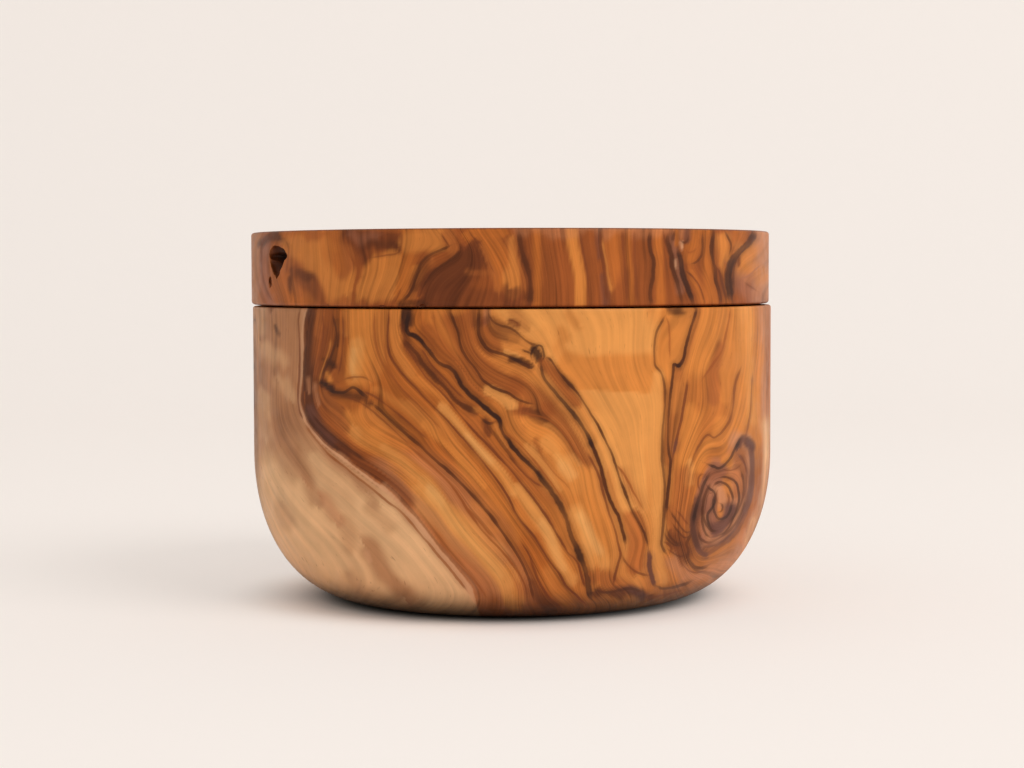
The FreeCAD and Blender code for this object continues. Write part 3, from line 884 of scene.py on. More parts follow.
        742, 434, 738, 442, 734, 449, 731, 456, 727, 461.5, 722, 466, 718, 468, 714, 466, 710, 465, 704,
        462
    ), 73.0, 0.9),
    Vein(PLUM, 4.6, (
        746, 436, 748, 444, 750.5, 452, 752, 462, 752, 472, 751, 483, 749.5, 493, 747, 504, 743, 517, 737,
        529, 729, 538, 719, 545, 711, 551, 705, 554, 699, 551, 695.5, 543, 693, 533, 692, 522, 693.5, 512,
        696, 503
    ), 73.5, 0.75),
    Vein(INK, 3.0, (
        710, 471, 706, 478, 702.5, 485, 700, 493, 697.5, 500, 695.5, 508, 693.5, 517, 692.5, 526
    ), 74.5, 0.9),
    Vein(CHESTNUT, 1.6, (706, 474, 700, 474, 697.5, 480, 698, 487, 701, 492), None, 0.8),
    Vein(UMBER, 2.0, (
        717, 478, 724, 476.5, 731, 478.5, 736, 483, 738, 491, 738.5, 500, 736, 509, 733, 517, 729, 526,
        723, 533, 716, 536
    ), 77.5, 0.9),
    Vein(INK, 2.4, (
        705, 483, 709, 488, 713, 491, 715, 496, 714.5, 502, 711, 508, 707.5, 513, 707, 519, 709, 526, 714,
        532
    ), 78.5, 0.9),
    Vein(UMBER, 2.2, (
        712, 487, 715, 483, 720, 481.5, 726, 484, 730, 490, 732.5, 498, 731, 506
    ), 79.5, 0.85),
    Vein(UMBER, 1.8, (718, 502, 722, 505, 721, 511, 716, 512), None, 0.8),
    Vein(CHESTNUT, 1.8, (719, 467, 727, 470, 736, 468, 743, 461), None, 0.8),
    Vein(UMBER, 2.2, (703, 498, 701.5, 511, 702, 523, 705, 533, 711, 538), None, 0.85),
    Vein(UMBER, 2.4, (
        745, 496, 742, 509, 736, 521, 728, 531, 718, 538, 708, 542, 700, 538, 697.5, 527
    ), None, 0.75),
    Vein(CHESTNUT, 1.8, (739, 452, 744, 462, 746, 476, 745, 490, 741, 503), None, 0.75),
    Vein(INK, 4.6, (696, 500, 694.5, 507, 692.5, 518, 693, 531, 696, 543, 701, 551), None, 0.4),
    Vein(CHESTNUT, 1.8, (718, 488, 715.5, 495, 717, 503), None, 0.7),
    Vein(UMBER, 2.6, (711, 480, 705.5, 492, 702.5, 506, 704, 520, 711, 530, 719, 530), None, 0.85),
    Vein(INK, 2.6, (717, 491, 713, 500, 713.5, 510, 718, 518, 725, 517, 730, 509, 731, 500), None, 0.85),
    Vein(UMBER, 2.2, (740, 468, 743, 482, 742, 498, 736, 512, 727, 524), None, 0.8),
    Vein(PLUM, 2.4, (736, 452, 741, 458, 746, 468, 748, 480), None, 0.7),
    Vein(CHESTNUT, 1.8, (726, 490, 728.5, 499, 726, 508), None, 0.7),
    Vein(UMBER, 2.0, (663, 530, 668, 540, 676, 545, 684, 543), None, 0.8),
    Vein(UMBER, 2.2, (664, 546, 672, 552, 680, 556, 687, 553), None, 0.75),
    Vein(UMBER, 2.0, (670, 520, 677, 530, 684, 537, 690, 535), None, 0.8),
    Vein(UMBER, 2.2, (668, 507, 673, 516, 678, 523, 682, 529, 687, 532, 692, 529), None, 0.85),
    Vein(UMBER, 2.2, (665, 522, 668, 533, 672, 539, 677, 543, 682, 541), None, 0.8),
    Vein(CHESTNUT, 1.8, (674, 508, 680, 514, 685, 521, 690, 526), None, 0.7),
    Vein(CHESTNUT, 2.0, (661, 541, 667, 543, 671, 548, 668, 554), None, 0.85),
    Vein(UMBER, 3.0, (
        691, 529, 689, 537, 686, 543, 688, 550, 687, 556, 690, 562, 695, 567, 703, 567, 712, 562
    ), None, 0.85),
    Vein(CHESTNUT, 1.6, (679, 559, 684, 566, 690, 571, 698, 572, 708, 569), None, 0.7),
    Vein(UMBER, 2.6, (653, 584, 662, 588, 672, 587, 683, 584, 694, 579), None, 0.8),
    Vein(CHESTNUT, 2.0, (621, 552, 624, 560, 629, 566, 635, 571, 643, 574, 651, 575), None, 0.8),
    Vein(CHESTNUT, 1.8, (640, 598, 655, 596, 670, 593, 688, 588), None, 0.7),
    Vein(UMBER, 2.2, (592, 588, 604, 592, 618, 590, 630, 588, 644, 592), None, 0.7),
)

LID_FLAWS: tuple[Flaw, ...] = (
    Flaw((276.5, 256.5), (4.2, 2.8, 2.5), 0.4, 3),
    Flaw((276, 265), (3.3, 2.1, 2.6), 0.5, 4),
    Flaw((269.5, 281.5), (1.0, 0.8, 1.2), 0.3, 5),
    Flaw((421.8, 306.5), (0.75, 0.8, 0.6), 0.0, 6),
    Flaw((381, 306.5), (0.85, 0.5, 0.42), 0.0, 7),
)

LID_STROKES: tuple[Stroke, ...] = (
    # left end with its knot
    # painted reflection: a tan band along the lid's left-hand end
    Stroke(SAP_SHADE, (254, 215, 254, 270, 256, 320), (30, 6), (4, 4), 0.85),
    Stroke(COPPER, (300, 215, 300, 260, 300, 320), (36, 60), (8, 10)),
    Stroke(MAUVE, (263, 240, 262, 262, 264, 284, 269, 304), (3, 4), (2.5, 3), 0.85),
    patch(UMBER, (262, 244, 270, 238, 280, 237, 287, 244), 4, 2.5, 0.8),
    patch(ORANGE, (284, 234, 294, 235, 304, 235), 4, 2, 0.9),
    Stroke(GOLD, (296, 246, 308, 250, 324, 250), (8, 10), (5, 5), 0.6),
    Stroke(AMBER, (292, 248, 308, 251, 326, 252), (10, 11), (4, 5), 0.7),
    Stroke(ORANGE, (330, 226, 332, 250, 336, 268), (9, 10), (5, 5), 0.7),
    Stroke(AMBER, (314, 264, 326, 276, 340, 290), (8, 10), (5, 5), 0.9),
    Stroke(CHESTNUT, (294, 270, 303, 276, 312, 284, 324, 299), (8, 6), (4, 4), 0.6),
    patch(UMBER, (299, 272, 308, 277), 4, 3, 0.55),
    patch(UMBER, (289, 278, 290, 298), 2.5, 1.6, 0.75),
    Stroke(ORANGE, (276, 284, 284, 296, 300, 302), (7, 6), (4, 4), 0.6),
    Stroke(CHESTNUT, (350, 237, 372, 241, 401, 243), (10, 9), (4, 3), 0.85),
    patch(RUSSET, (350, 242, 356, 254, 359, 264), 6, 4, 0.75),
    Stroke(UMBER, (370, 244, 384, 247, 400, 248), (5, 5), (5, 4), 0.5),
    Stroke(CHESTNUT, (347, 232, 356, 246, 363, 258), (6, 8), (4, 4), 0.7),
    patch(MAUVE, (352, 236, 364, 238, 374, 237), 5, 4, 0.45),
    Stroke(GOLD, (360, 282, 376, 272, 398, 268), (16, 14), (6, 5), 0.75),
    Stroke(AMBER, (358, 288, 376, 290, 392, 284), (12, 12), (5, 6), 0.8),
    patch(RUSSET, (356, 258, 359, 268, 359, 276), 4, 2.5, 0.8),
    patch(CHESTNUT, (354, 294, 354, 306), 3, 2, 0.55),
    # middle left with its dark swirl
    Stroke(ORANGE, (405, 222, 405, 248, 403, 268, 398, 310), (4, 12), (1.6, 6), 0.9),
    Stroke(AMBER, (409, 240, 424, 238, 442, 236), (11, 9), (4, 4), 0.85),
    Stroke(COPPER, (446, 222, 451, 244, 457, 258), (5, 7), (3, 3), 0.85),
    patch(COPPER, (430, 262, 420, 276, 412, 296), 5, 3, 0.6),
    Stroke(CHESTNUT, (464, 246, 437, 272, 421, 296), (1, 34), (1.6, 12), 0.95),
    Stroke(UMBER, (454, 262, 440, 280, 432, 300), (6, 26), (5, 10), 0.5),
    patch(UMBER, (426, 268, 419, 284), 7, 4, 0.5),
    Stroke(CHESTNUT, (440, 300, 476, 298, 512, 299), (10, 12), (6, 5), 0.6),
    Stroke(ORANGE, (491, 246, 499, 262, 505, 280), (9, 8), (4, 4), 0.85),
    patch(COPPER, (468, 272, 484, 272, 502, 270), 3.5, 2.5, 0.4),
    patch(COPPER, (479, 243, 486, 258, 492, 272, 497, 290), 2, 1.5, 0.75),
    patch(UMBER, (400, 303, 410, 303, 422, 302), 3.5, 2.5, 0.75),
    patch(ORANGE, (470, 233, 484, 233, 502, 234), 6, 3, 0.85),
    Stroke(AMBER, (510, 240, 512, 268, 511, 292), (5, 6), (3, 3), 0.75),
    Stroke(CHESTNUT, (511, 296, 514, 310), (9, 7), (4, 3), 0.8),
    # stripes
    patch(CHESTNUT, (519, 215, 521, 248, 527, 275, 529, 315), 4, 2, 0.85),
    patch(ORANGE, (534, 215, 537, 255, 537, 285, 537, 315), 4, 2, 0.85),
    patch(RUSSET, (552, 215, 552, 260, 556, 315), 9, 3, 0.8),
    Stroke(GOLD, (571, 215, 573, 245, 577, 275, 579, 315), (5, 6.5), (1.8, 1.8), 0.9),
    Stroke(RUSSET, (590, 215, 592, 260, 596, 315), (9, 8), (3, 3), 0.85),
    patch(PLUM, (597, 226, 598, 242, 600, 256), 3, 2.5, 0.6),
    patch(PLUM, (603, 276, 604, 290, 605, 304), 3.5, 2.5, 0.6),
    Stroke(ORANGE, (615, 215, 615, 250, 612, 280), (6, 5), (4, 4), 0.7),
    patch(ORANGE, (628, 215, 628, 245, 630, 278, 632, 315), 3, 1.5, 0.95),
    patch(RUSSET, (641, 215, 641, 260, 640, 315), 8, 3, 0.8),
    Stroke(ORANGE, (659, 215, 659, 250, 661, 285, 660, 315), (5, 4), (2, 2), 0.85),
    # painted reflection: a pale rose veil along the lid's top edge
    Stroke(ROSE, (520, 226, 600, 226, 690, 227), (8, 8), (5, 6), 0.35),
    # right end
    Stroke(MAUVE, (672, 238, 675, 254, 677, 272, 680, 290), (4, 5), (3, 3), 0.8),
    patch(ORANGE, (677, 230, 677, 244), 2.5, 1.5, 0.9),
    Stroke(CREAM, (674.5, 260, 675.5, 267), (1.5, 2), (1.2, 1.5), 0.9),
    patch(CREAM, (681.5, 241, 682, 247), 1.5, 1.2, 0.8),
    Stroke(ORANGE, (694, 226, 694, 245, 690, 258), (6, 7), (4, 4), 0.9),
    patch(PLUM, (688, 226, 688, 238), 3.5, 2.5, 0.75),
    patch(ORANGE, (706, 230, 706, 262, 708, 285, 714, 315), 5, 3, 0.95),
    patch(ORANGE, (690, 272, 698, 288, 704, 310), 4, 3, 0.9),
    patch(GOLD, (721, 238, 722, 252, 721, 264), 6, 4, 0.8),
    patch(ORANGE, (724, 268, 724, 290, 726, 312), 4, 3, 0.9),
    Stroke(ORANGE, (738, 226, 737, 236, 734, 246), (7, 8), (4, 4), 0.9),
    # painted reflection: pale rose along the lid's right-hand end
    Stroke(ROSE, (764, 215, 764, 262, 764, 315), (10, 30), (5, 5), 0.8),
    Stroke(AMBER, (752, 250, 748, 262, 744, 270), (9, 10), (5, 6), 0.85),
    Stroke(AMBER, (740, 252, 752, 262, 762, 270), (9, 6), (5, 4), 0.6),
    Stroke(MAUVE, (738, 280, 748, 292, 756, 306), (7, 14), (5, 8), 0.6),
    patch(CHESTNUT, (738, 257, 739, 264), 2, 1.5, 0.8),
)

LID_VEINS: tuple[Vein, ...] = (
    Vein(CHESTNUT, 2.0, (
        278, 233, 268, 236, 262, 243, 261, 256, 261.5, 270, 264, 283, 268, 294, 274, 303
    ), -52.0, 0.7),
    Vein(CHESTNUT, 2.0, (284, 238, 288, 247, 287, 262, 285, 276), -48.0, 0.6),
    Vein(RUSSET, 2.0, (344, 230, 346, 246, 351, 258, 357, 268), -36.0, 0.7),
    Vein(RUSSET, 2.4, (354, 250, 357, 262, 358, 271, 356, 279, 354, 288, 353, 298, 352, 306), -34.0, 0.85),
    Vein(CHESTNUT, 1.6, (401, 228, 401, 242, 398, 252, 384, 255, 366, 258), None, 0.6),
    Vein(CHESTNUT, 1.5, (440, 229, 443, 237, 447, 243, 450, 248), None, 0.8),
    Vein(UMBER, 2.4, (
        452, 244, 444, 248, 434, 252, 426, 257, 421, 263, 418, 270, 415, 278, 412, 288, 406, 297, 398, 304
    ), -20.0, 0.85),
    Vein(UMBER, 2.2, (464, 248, 457, 254, 449, 260, 440, 266, 432, 273, 426, 281, 420, 290), -16.0, 0.7),
    Vein(CHESTNUT, 1.5, (467, 228, 472, 236, 480, 243, 486, 253, 490, 264, 495, 275), -6.0, 0.7),
    Vein(COPPER, 1.6, (480, 240, 485, 251, 490, 262, 495, 273, 498, 286, 498, 300), -4.0, 0.7),
    Vein(CHESTNUT, 1.6, (402, 286, 398, 294, 393, 305), None, 0.8),
    Vein(UMBER, 5.0, (518, 228, 520, 244, 523, 256, 527, 268, 530, 282, 530, 294, 529, 306), 3.0, 0.85),
    Vein(COPPER, 1.8, (512, 240, 516, 254, 520, 267, 524, 280, 525, 296), 1.4, 0.7),
    Vein(GOLD, 1.4, (579, 246, 582, 262, 584, 276, 586, 292), None, 0.6),
    Vein(CHESTNUT, 2.0, (579, 228, 581, 242, 584, 258, 587, 274, 589, 304), 15.0, 0.7),
    Vein(AMBER, 2.2, (602, 236, 603, 249, 606, 262, 607.5, 275, 610, 286, 611, 294), 19.5, 0.9),
    Vein(CHESTNUT, 2.4, (600, 228, 600, 246, 603, 264, 605, 282, 607, 304), 18.6, 0.8),
    Vein(CHESTNUT, 2.4, (622, 228, 623, 250, 625, 275, 627, 305), 23.5, 0.7),
    Vein(CHESTNUT, 2.4, (634, 228, 634, 250, 635, 275, 637, 305), 26.0, 0.6),
    Vein(UMBER, 3.6, (
        651, 228, 649, 240, 650, 250, 653, 259, 653, 269, 652, 279, 650, 289, 650, 298, 652, 307
    ), 29.5, 0.9),
    Vein(CHESTNUT, 1.8, (663, 228, 664, 239, 667, 249, 669, 258), None, 0.85),
    Vein(UMBER, 3.8, (
        669, 228, 667, 239, 669, 248, 671, 256, 671, 264, 673, 272, 676, 279.5, 678, 287, 680, 295, 682,
        306
    ), 33.0, 0.95),
    Vein(UMBER, 3.0, (675, 228, 673, 236, 672, 243), None, 0.85),
    Vein(INK, 4.4, (
        677, 247, 679, 255, 681, 263, 681.5, 270, 683.5, 278, 686.5, 286, 690, 295, 694, 306
    ), 35.0, 0.9),
    Vein(UMBER, 2.0, (679, 238, 683, 242, 687, 240, 688, 232), None, 0.8),
    Vein(RUSSET, 2.0, (684, 246, 688, 252, 694, 250, 698, 246), None, 0.8),
    Vein(UMBER, 2.8, (702, 228, 702, 240, 702, 250, 700, 257, 695, 262, 688, 264), 39.0, 0.9),
    Vein(CHESTNUT, 1.8, (683, 269, 691, 275, 698, 284, 702, 294, 705, 305), 37.0, 0.85),
    Vein(UMBER, 3.2, (
        714, 228, 712, 240, 711, 250, 712.5, 260, 715, 269, 715, 279, 718, 288, 720, 297, 721, 306
    ), 42.0, 0.9),
    Vein(CHESTNUT, 1.8, (715, 265, 719, 272, 721, 281, 723.5, 291, 727, 303), None, 0.85),
    Vein(UMBER, 2.4, (723, 228, 727, 236, 730.5, 243, 730, 250, 727, 258), 45.0, 0.9),
    Vein(INK, 6.0, (
        756, 228, 752, 237, 747, 244, 741, 249, 735, 255, 731, 262, 728.5, 270, 728, 280, 729, 291, 730,
        306
    ), 48.0, 0.9),
    Vein(UMBER, 2.2, (748, 246, 741, 252, 736, 259, 733.5, 268, 733, 280, 734, 294), 49.0, 0.8),
    Vein(MAUVE, 2.0, (764, 262, 757, 267, 751, 273, 745, 277, 738, 278), 52.0, 0.8),
    Vein(CHESTNUT, 1.5, (743, 281, 750, 286, 757, 291), None, 0.6),
)


class Outline:
    """A turning's outline, drawn on from point to point as radius and height."""

    def __init__(self, radius: float, height: float) -> None:
        """Puts down the first point."""
        self.points: list[np.ndarray] = [np.array([radius, height])]

    def line(self, radius: float, height: float, step: float) -> "Outline":
        """Draws a straight run.

        Args:
            radius: the run's end.
            height: the run's end.
            step: how far apart its points are.

        Returns:
            The outline, for the next stretch.
        """
        start, end = self.points[-1], np.array([radius, height])
        count = max(1, round(float(np.linalg.norm(end - start)) / step))
        self.points += [start + (end - start) * k / count for k in range(1, count + 1)]
        return self

    def ease(self, corner: Spot, end: Spot, count: int, fullness: float = ELLIPSE_FULLNESS) -> "Outline":
        """Draws a curve that rounds off a corner.

        Args:
            corner: the corner's radius and height.
            end: where the round ends.
            count: how many steps it takes.
            fullness: how far the curve fills the corner.

        Returns:
            The outline, for the next stretch.
        """
        self.points += list(rounded(self.points[-1], corner, end, count, fullness)[1:])
        return self


def rounded(start: Sequence[float], corner: Spot, end: Spot, count: int, fullness: float) -> np.ndarray:
    """Rounds off a corner with a conic, which is a quarter ellipse at the fullness of one.

    Args:
        start: where the curve begins.
        corner: the corner that it cuts.
        end: where it ends.
        count: how many steps it takes.
        fullness: how far it fills the corner.

    Returns:
        Points along the curve, one a row.
    """
    part = np.linspace(0.0, 1.0, count + 1)
    shares = np.column_stack([(1.0 - part) ** 2, 2.0 * fullness * part * (1.0 - part), part ** 2])
    return shares @ np.array([start, corner, end]) / shares.sum(axis=1, keepdims=True)


def only(piece: bpy.types.Object) -> None:
    """Selects one object and makes it the active one."""
    bpy.ops.object.select_all(action="DESELECT")
    piece.select_set(True)
    bpy.context.view_layer.objects.active = piece


def extrude(way: Sequence[float]) -> None:
    """Draws the selected points or edges on by a way."""
    bpy.ops.mesh.extrude_region_move(TRANSFORM_OT_translate={"value": way})


def wear(piece: bpy.types.Object, material: bpy.types.Material) -> None:
    """Gives a piece one material in place of any other."""
    piece.data.materials.clear()
    piece.data.materials.append(material)


def turn(name: str, outline: Outline, centre: Spot, fine: int, coarse: int) -> bpy.types.Object:
    """Turns an outline about an upright axis, with finer steps on the side that the camera sees.

    Args:
        name: the piece's name.
        outline: its outline, from the axis round to the axis again.
        centre: where the axis stands.
        fine: how many steps go round the front.
        coarse: how many go round the back.

    Returns:
        The turned piece, smooth, with its place in its mesh.
    """
    begin = math.radians(FRONT) - FRONT_SWEEP / 2
    way = Vector((math.cos(begin), math.sin(begin), 0.0))
    places = [way * (p[0] * MM) + Vector((0, 0, p[1] * MM)) for p in outline.points]
    bpy.ops.object.select_all(action="DESELECT")
    bpy.ops.mesh.primitive_plane_add(size=MM, location=places[0])
    piece = bpy.context.object
    piece.name = name
    piece.data.name = name
    bpy.ops.object.transform_apply(location=True, rotation=True, scale=True)
    bpy.ops.object.mode_set(mode="EDIT")
    bpy.ops.mesh.select_mode(type="VERT")
    bpy.ops.mesh.select_all(action="SELECT")
    bpy.ops.mesh.merge(type="CENTER")
    for start, end in zip(places, places[1:]):
        extrude(end - start)
    bpy.ops.object.mode_set(mode="OBJECT")
    only(piece)
    bpy.ops.object.duplicate()
    back = bpy.context.object
    sweep(piece, FRONT_SWEEP, fine)
    sweep(back, FRONT_SWEEP - 2 * math.pi, coarse)
    only(piece)
    back.select_set(True)
    bpy.ops.object.join()
    piece.location = (centre[0] * MM, centre[1] * MM, 0.0)
    bpy.ops.object.transform_apply(location=True, rotation=True, scale=True)
    bpy.ops.object.mode_set(mode="EDIT")
    bpy.ops.mesh.select_all(action="SELECT")
    bpy.ops.mesh.remove_doubles(threshold=MERGE_GAP)
    bpy.ops.mesh.normals_make_consistent(inside=False)
    bpy.ops.object.mode_set(mode="OBJECT")
    return piece


def sweep(piece: bpy.types.Object, angle: float, steps: int) -> None:
    """Sweeps an open outline about the upright axis through its origin."""
    modifier = piece.modifiers.new("sweep", "SCREW")
    modifier.axis = "Z"
    modifier.angle = angle
    modifier.steps = steps
    modifier.render_steps = steps
    only(piece)
    bpy.ops.object.modifier_apply(modifier=modifier.name)


def cut(piece: bpy.types.Object, cutter: bpy.types.Object) -> None:
    """Takes a cutter's shape out of a piece and throws the cutter away."""
    modifier = piece.modifiers.new("cut", "BOOLEAN")
    modifier.operation = "DIFFERENCE"
    modifier.solver = "MANIFOLD"
    modifier.object = cutter
    only(piece)
    bpy.ops.object.modifier_apply(modifier=modifier.name)
    bpy.data.objects.remove(cutter)


def bore(place: Spot, radius: float, bottom: float, top: float) -> bpy.types.Object:
    """Makes a round upright cutter.

    Args:
        place: where its axis stands.
        radius: its radius.
        bottom: its lower end.
        top: its upper end.

    Returns:
        The cutter.
    """
    bpy.ops.object.select_all(action="DESELECT")
    middle = (place[0] * MM, place[1] * MM, (bottom + top) / 2 * MM)
    height = (top - bottom) * MM
    bpy.ops.mesh.primitive_cylinder_add(vertices=48, radius=radius * MM, depth=height, location=middle)
    return bpy.context.object


def gouge(place: np.ndarray, facing: float, flaw: Flaw) -> bpy.types.Object:
    """Makes an uneven rounded cutter for a knot hole or a nick.

    Args:
        place: its middle in millimetres.
        facing: the way it faces, in degrees round the upright axis.
        flaw: its size and form.

    Returns:
        The cutter.
    """
    bpy.ops.object.select_all(action="DESELECT")
    bpy.ops.mesh.primitive_uv_sphere_add(segments=40, ring_count=24, radius=1.0)
    cutter = bpy.context.object
    mesh = cutter.data
    flat = np.zeros(len(mesh.vertices) * 3)
    mesh.vertices.foreach_get("co", flat)
    ball = flat.reshape(-1, 3)
    uneven = 1.0 + 0.2 * CloudNoise(flaw.seed).at(ball * 2.3 + 9.0)
    slim = 1.0 - flaw.taper * smooth_step(0.6, -1.0, ball[:, 2])
    shape = ball * uneven[:, None] * np.array(flaw.size)
    shape[:, 0] *= slim
    turn_by = math.radians(facing - FRONT)
    spun_x = shape[:, 0] * math.cos(turn_by) - shape[:, 1] * math.sin(turn_by)
    spun_y = shape[:, 0] * math.sin(turn_by) + shape[:, 1] * math.cos(turn_by)
    spun = np.stack([spun_x, spun_y, shape[:, 2]], axis=1) + place
    mesh.vertices.foreach_set("co", (spun * MM).ravel())
    mesh.update()
    return cutter


def points_of(piece: bpy.types.Object) -> np.ndarray:
    """Reads a piece's points in millimetres, one a row."""
    flat = np.zeros(len(piece.data.vertices) * 3)
    piece.data.vertices.foreach_get("co", flat)
    return flat.reshape(-1, 3) / MM


class Sheet:
    """The node tree of a material or a world, put together a node at a time."""

    def __init__(self, owner: bpy.types.ID) -> None:
        """Takes up the tree that a new material or world starts with."""
        owner.use_nodes = True
        self.owner = owner
        self.tree = owner.node_tree
        self.shader = self.tree.nodes.get("Principled BSDF")

    @classmethod
    def of_material(cls, name: str) -> "Sheet":
        """Starts a material with its shader and output."""
        return cls(bpy.data.materials.new(name))

    def node(self, kind: str, inputs: dict, **settings) -> bpy.types.Node:
        """Adds a node.

        Args:
            kind: the node's type.
            inputs: values or sockets for its inputs, by name or number.
            settings: the node's own settings.

        Returns:
            The node.
        """
        made = self.tree.nodes.new(kind)
        for name, value in settings.items():
            setattr(made, name, value)
        for name, value in inputs.items():
            self.feed(made.inputs[name], value)
        return made

    def feed(self, socket: bpy.types.NodeSocket, value: object) -> None:
        """Gives an input a value or links it to a socket."""
        if isinstance(value, bpy.types.NodeSocket):
            self.tree.links.new(value, socket)
        else:
            socket.default_value = value

    def math(self, operation: str, *values: object) -> bpy.types.NodeSocket:
        """Does a sum on numbers and sockets and gives its result."""
        made = self.node("ShaderNodeMath", dict(enumerate(values)), operation=operation)
        return made.outputs[0]

    def blend(self, share: object, first: object, second: object) -> bpy.types.NodeSocket:
        """Mixes two colours and gives the result."""
        made = self.node("ShaderNodeMix", {0: share, 6: first, 7: second}, data_type="RGBA")
        return made.outputs[2]

    def rise(self, value: object, low: float, high: float, least: float = 0.0,
             most: float = 1.0) -> bpy.types.NodeSocket:
        """Maps a value smoothly from low..high to least..most and gives the result."""
        inputs = {"Value": value, "From Min": low, "From Max": high, "To Min": least, "To Max": most}
        made = self.node("ShaderNodeMapRange", inputs, interpolation_type="SMOOTHSTEP")
        return made.outputs[0]

    def noise(self, scale: float, detail: float, place: object = None,
              wave: object = None) -> bpy.types.NodeSocket:
        """Adds noise over a place, a number or both, and gives its value."""
        kind = {("Vector",): "3D", ("Vector", "W"): "4D", ("W",): "1D"}
        given = {"Vector": place, "W": wave}
        given = {name: value for name, value in given.items() if value is not None}
        inputs = {"Scale": scale, "Detail": detail} | given
        return self.node("ShaderNodeTexNoise", inputs, noise_dimensions=kind[tuple(given)]).outputs[0]

    def attribute(self, name: str) -> bpy.types.Node:
        """Adds a node that reads one of the piece's attributes."""
        return self.node("ShaderNodeAttribute", {}, attribute_name=name)

    def place_in_mm(self) -> bpy.types.NodeSocket:
        """Gives the place on the piece in millimetres."""
        where = self.node("ShaderNodeTexCoord", {}).outputs["Object"]
        return self.stretched(where, (1 / MM, 1 / MM, 1 / MM))

    def stretched(self, place: object, scale: tuple[float, float, float]) -> bpy.types.NodeSocket:
        """Gives a place multiplied by its own number along each axis."""
        return self.node("ShaderNodeMapping", {"Vector": place, "Scale": scale}).outputs[0]

    def scaled(self, vector: object, factor: object) -> bpy.types.NodeSocket:
        """Gives a place or a colour multiplied by one number."""
        return self.node("ShaderNodeVectorMath", {0: vector, 3: factor}, operation="SCALE").outputs[0]

    def give(self, **inputs: object) -> None:
        """Gives the shader's inputs values or sockets, with underscores for the spaces in their names."""
        for name, value in inputs.items():
            self.feed(self.shader.inputs[name.replace("_", " ")], value)

    def bump(self, height: object, strength: float, distance: float) -> None:
        """Raises the surface a little where height is large."""
        made = self.node("ShaderNodeBump", {"Strength": strength, "Distance": distance, "Height": height})
        self.give(Normal=made.outputs[0])


